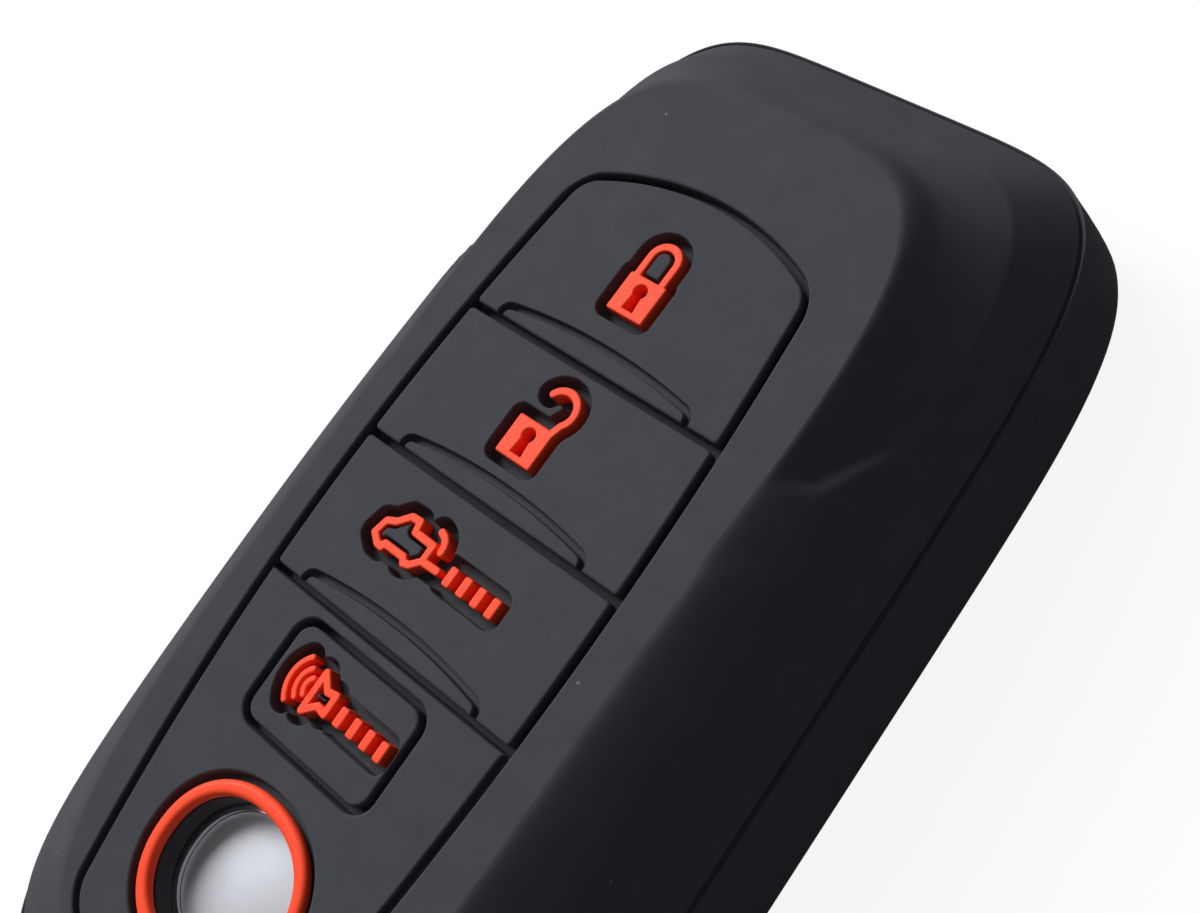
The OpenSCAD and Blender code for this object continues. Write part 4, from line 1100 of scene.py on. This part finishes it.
finish_looks = {
    "cover_black": dict(
        color=(0.052, 0.0535, 0.061), roughness=0.75, mottle=0.07, bump=0.45, specular=0.06, dust=0.05,
    ),
    "mark_red": dict(color=(0.98, 0.07, 0.02), roughness=0.55, mottle=0.04, bump=0.12, specular=0.2),
    "fob_black": dict(color=(0.012, 0.012, 0.014), roughness=0.5, mottle=0.1, bump=0.3, specular=0.4),
    "fob_key_grey": dict(color=(0.025, 0.025, 0.027), roughness=0.55, mottle=0.1, bump=0.3),
    "badge_silver": dict(color=(0.41, 0.43, 0.46), roughness=0.5, mottle=0.04, bump=0.05, metallic=0.3),
    "rim_chrome": dict(
        color=(0.8, 0.8, 0.82), roughness=0.12, mottle=0.02, bump=0.03, metallic=1.0, roughness_spread=0.03,
    ),
    "mat_grey": dict(color=(0.043, 0.043, 0.047), roughness=0.7, mottle=0.08, bump=0.3),
    "board_green": dict(
        color=(0.012, 0.1, 0.035), roughness=0.3, mottle=0.12, bump=0.1, grain_scale=2500.0, coat=0.3,
    ),
    "plain_steel": dict(
        color=(0.57, 0.58, 0.6), roughness=0.3, mottle=0.06, bump=0.12, metallic=1.0, grain_scale=4000.0,
    ),
    "contact_metal": dict(color=(0.62, 0.52, 0.25), roughness=0.3, mottle=0.06, bump=0.1, metallic=1.0),
    "coil_wire": dict(color=(0.26, 0.09, 0.02), roughness=0.35, mottle=0.1, bump=0.2, metallic=0.8),
    "head_black": dict(color=(0.016, 0.016, 0.018), roughness=0.55, mottle=0.1, bump=0.3),
}
finishes = {name: moulded_material(name, **look) for name, look in finish_looks.items()}

# Every solid in its finish
slots = {s["node"]: s["material_slot"] for s in frame["record"]["subparts"]}
for name, node in frame["nodes"].items():
    node.data.materials.clear()
    node.data.materials.append(finishes[slots[name]])


# The cover's two shells, its bead, its pads and their marks
black, red = finishes["cover_black"], finishes["mark_red"]
front = make_front_shell(black)
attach(front, "front_cover")
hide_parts("front_shell")

rear = make_rear_shell(black)
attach(rear, "rear_cover")
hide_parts("rear_shell")

bead_h = bead_seat + slip
bead = grown_piece("bead_ring", bead_tree(), {
    "Half Width": bead_half_w * MM, "Half Length": bead_half_l * MM, "Squareness": window_square,
    "Thickness": bead_t * MM, "Height": bead_h * MM, "Rounding": bead_round * MM,
    "Centre": ((panel_x + window_x) * MM, (window_y + body_shift) * MM, (cover_h + slip - bead_h / 2) * MM),
    "Crown Radius": crown_r * MM, "Crown Place": (middle_groove_y + body_shift) * MM, "Material": red,
})
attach(bead, "front_cover")
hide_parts("window_bead")

for key, low in pad_lows.items():
    domain = on_panel(panel_part_field, low, pad_highs[key], -groove_w / 2, pad_corner_r)
    block = on_panel(panel_part_field, low, pad_highs[key], groove_w / 2 - ledge_w - run)
    ridge = Cut(on_panel(ridge_field, low), below_face(groove_depth), ridge_edge_r, ridge_step)
    pad = make_pad(
        key + "_pad_top", domain, block, (panel_x, low + pad_pitch / 2 + body_shift), pad_nub, black,
        [ridge, recess_cut(key)],
    )
    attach(pad, key + "_button")
    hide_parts(key + "_pad")
panic_block = on_panel(panic_field, groove_w / 2 - panic_ledge_share * ledge_w - run)
pad = make_pad(
    "panic_pad_top", on_panel(panic_field, -groove_w / 2), panic_block,
    (panel_x + panic_x, panic_y + body_shift), panic_nub, black, [recess_cut("panic")],
)
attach(pad, "panic_button")
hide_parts("panic_pad")

bar_row_tree = row_tree()
for key, rows in marks.items():
    for name, field, place, box, _ in rows:
        piece = make_mark(name + "_inlay", field, place, box, red)
        if field is bar:
            single = piece
            single.name = name + "_bar"
            piece = grown_piece(name + "_inlay", bar_row_tree, {
                "Piece": single, "Count": bar_count, "Pitch": bar_pitch * MM, "Material": red,
            })
            bpy.data.objects.remove(single)
        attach(piece, key + "_button")
        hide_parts(name)


def mix_to(tree, share, first, second, target):
    """Leads two shaders, the second at a share that a node gives, into an output."""
    mix = tree.nodes.new("ShaderNodeMixShader")
    for socket, source in zip(mix.inputs, (share, first, second)):
        tree.links.new(source, socket)
    tree.links.new(mix.outputs[0], target)


# A table that looks nearly white to the camera but throws little light back on the cover
floor_size_m, floor_roughness = 3, 0.9
floor_glow_share, floor_bounce = 0.9, 0.2


def add_floor():
    bpy.ops.mesh.primitive_plane_add(size=floor_size_m)
    floor = bpy.context.object
    floor.name = "floor"
    material = bpy.data.materials.new("pale_floor")
    material.use_nodes = True
    tree = material.node_tree
    shader = tree.nodes["Principled BSDF"]
    shader.inputs["Roughness"].default_value = floor_roughness
    shader.inputs["Specular IOR Level"].default_value = 0
    glow = add_node(tree, "ShaderNodeEmission", Strength=1.0)
    seen = tree.nodes.new("ShaderNodeLightPath").outputs["Is Camera Ray"]
    shade = add_node(
        tree, "ShaderNodeMix", {"data_type": "RGBA"},
        Factor=seen, A=(floor_bounce, floor_bounce, floor_bounce, 1), B=(1, 1, 1, 1),
    )
    tree.links.new(shade.outputs["Result"], shader.inputs["Base Color"])
    share = math_node(tree, "MULTIPLY", seen, floor_glow_share)
    mix_to(tree, share, shader.outputs[0], glow.outputs[0], tree.nodes["Material Output"].inputs["Surface"])
    floor.data.materials.append(material)


def add_lamp(name, direction, distance, size, power):
    """A square lamp that faces the origin."""
    data = bpy.data.lights.new(name, "AREA")
    data.size, data.energy = size, power
    lamp = bpy.data.objects.new(name, data)
    place = Vector(direction).normalized() * distance
    lamp.location = place
    lamp.rotation_euler = (-place).to_track_quat("-Z", "Y").to_euler()
    bpy.context.scene.collection.objects.link(lamp)


# A cool, weak sky that the camera, reflections and clear pieces see as white
sky_color, sky_strength = (0.9, 0.95, 1, 1), 0.18


def add_world():
    world = bpy.data.worlds.new("world")
    bpy.context.scene.world = world
    world.use_nodes = True
    tree = world.node_tree
    sky = tree.nodes["Background"]
    sky.inputs["Color"].default_value = sky_color
    sky.inputs["Strength"].default_value = sky_strength
    white = add_node(tree, "ShaderNodeBackground", Color=(1, 1, 1, 1))
    ray = tree.nodes.new("ShaderNodeLightPath").outputs
    seen = math_node(tree, "MAXIMUM", ray["Is Camera Ray"], ray["Is Glossy Ray"])
    seen = math_node(tree, "MAXIMUM", seen, ray["Is Transmission Ray"])
    mix_to(tree, seen, sky.outputs[0], white.outputs[0], tree.nodes["World Output"].inputs["Surface"])


add_floor()
add_lamp("key_lamp", direction=(-0.72, 0.16, 0.65), distance=0.9, size=0.5, power=11.2)
add_world()

bpy.context.scene.view_settings.view_transform = "Standard"
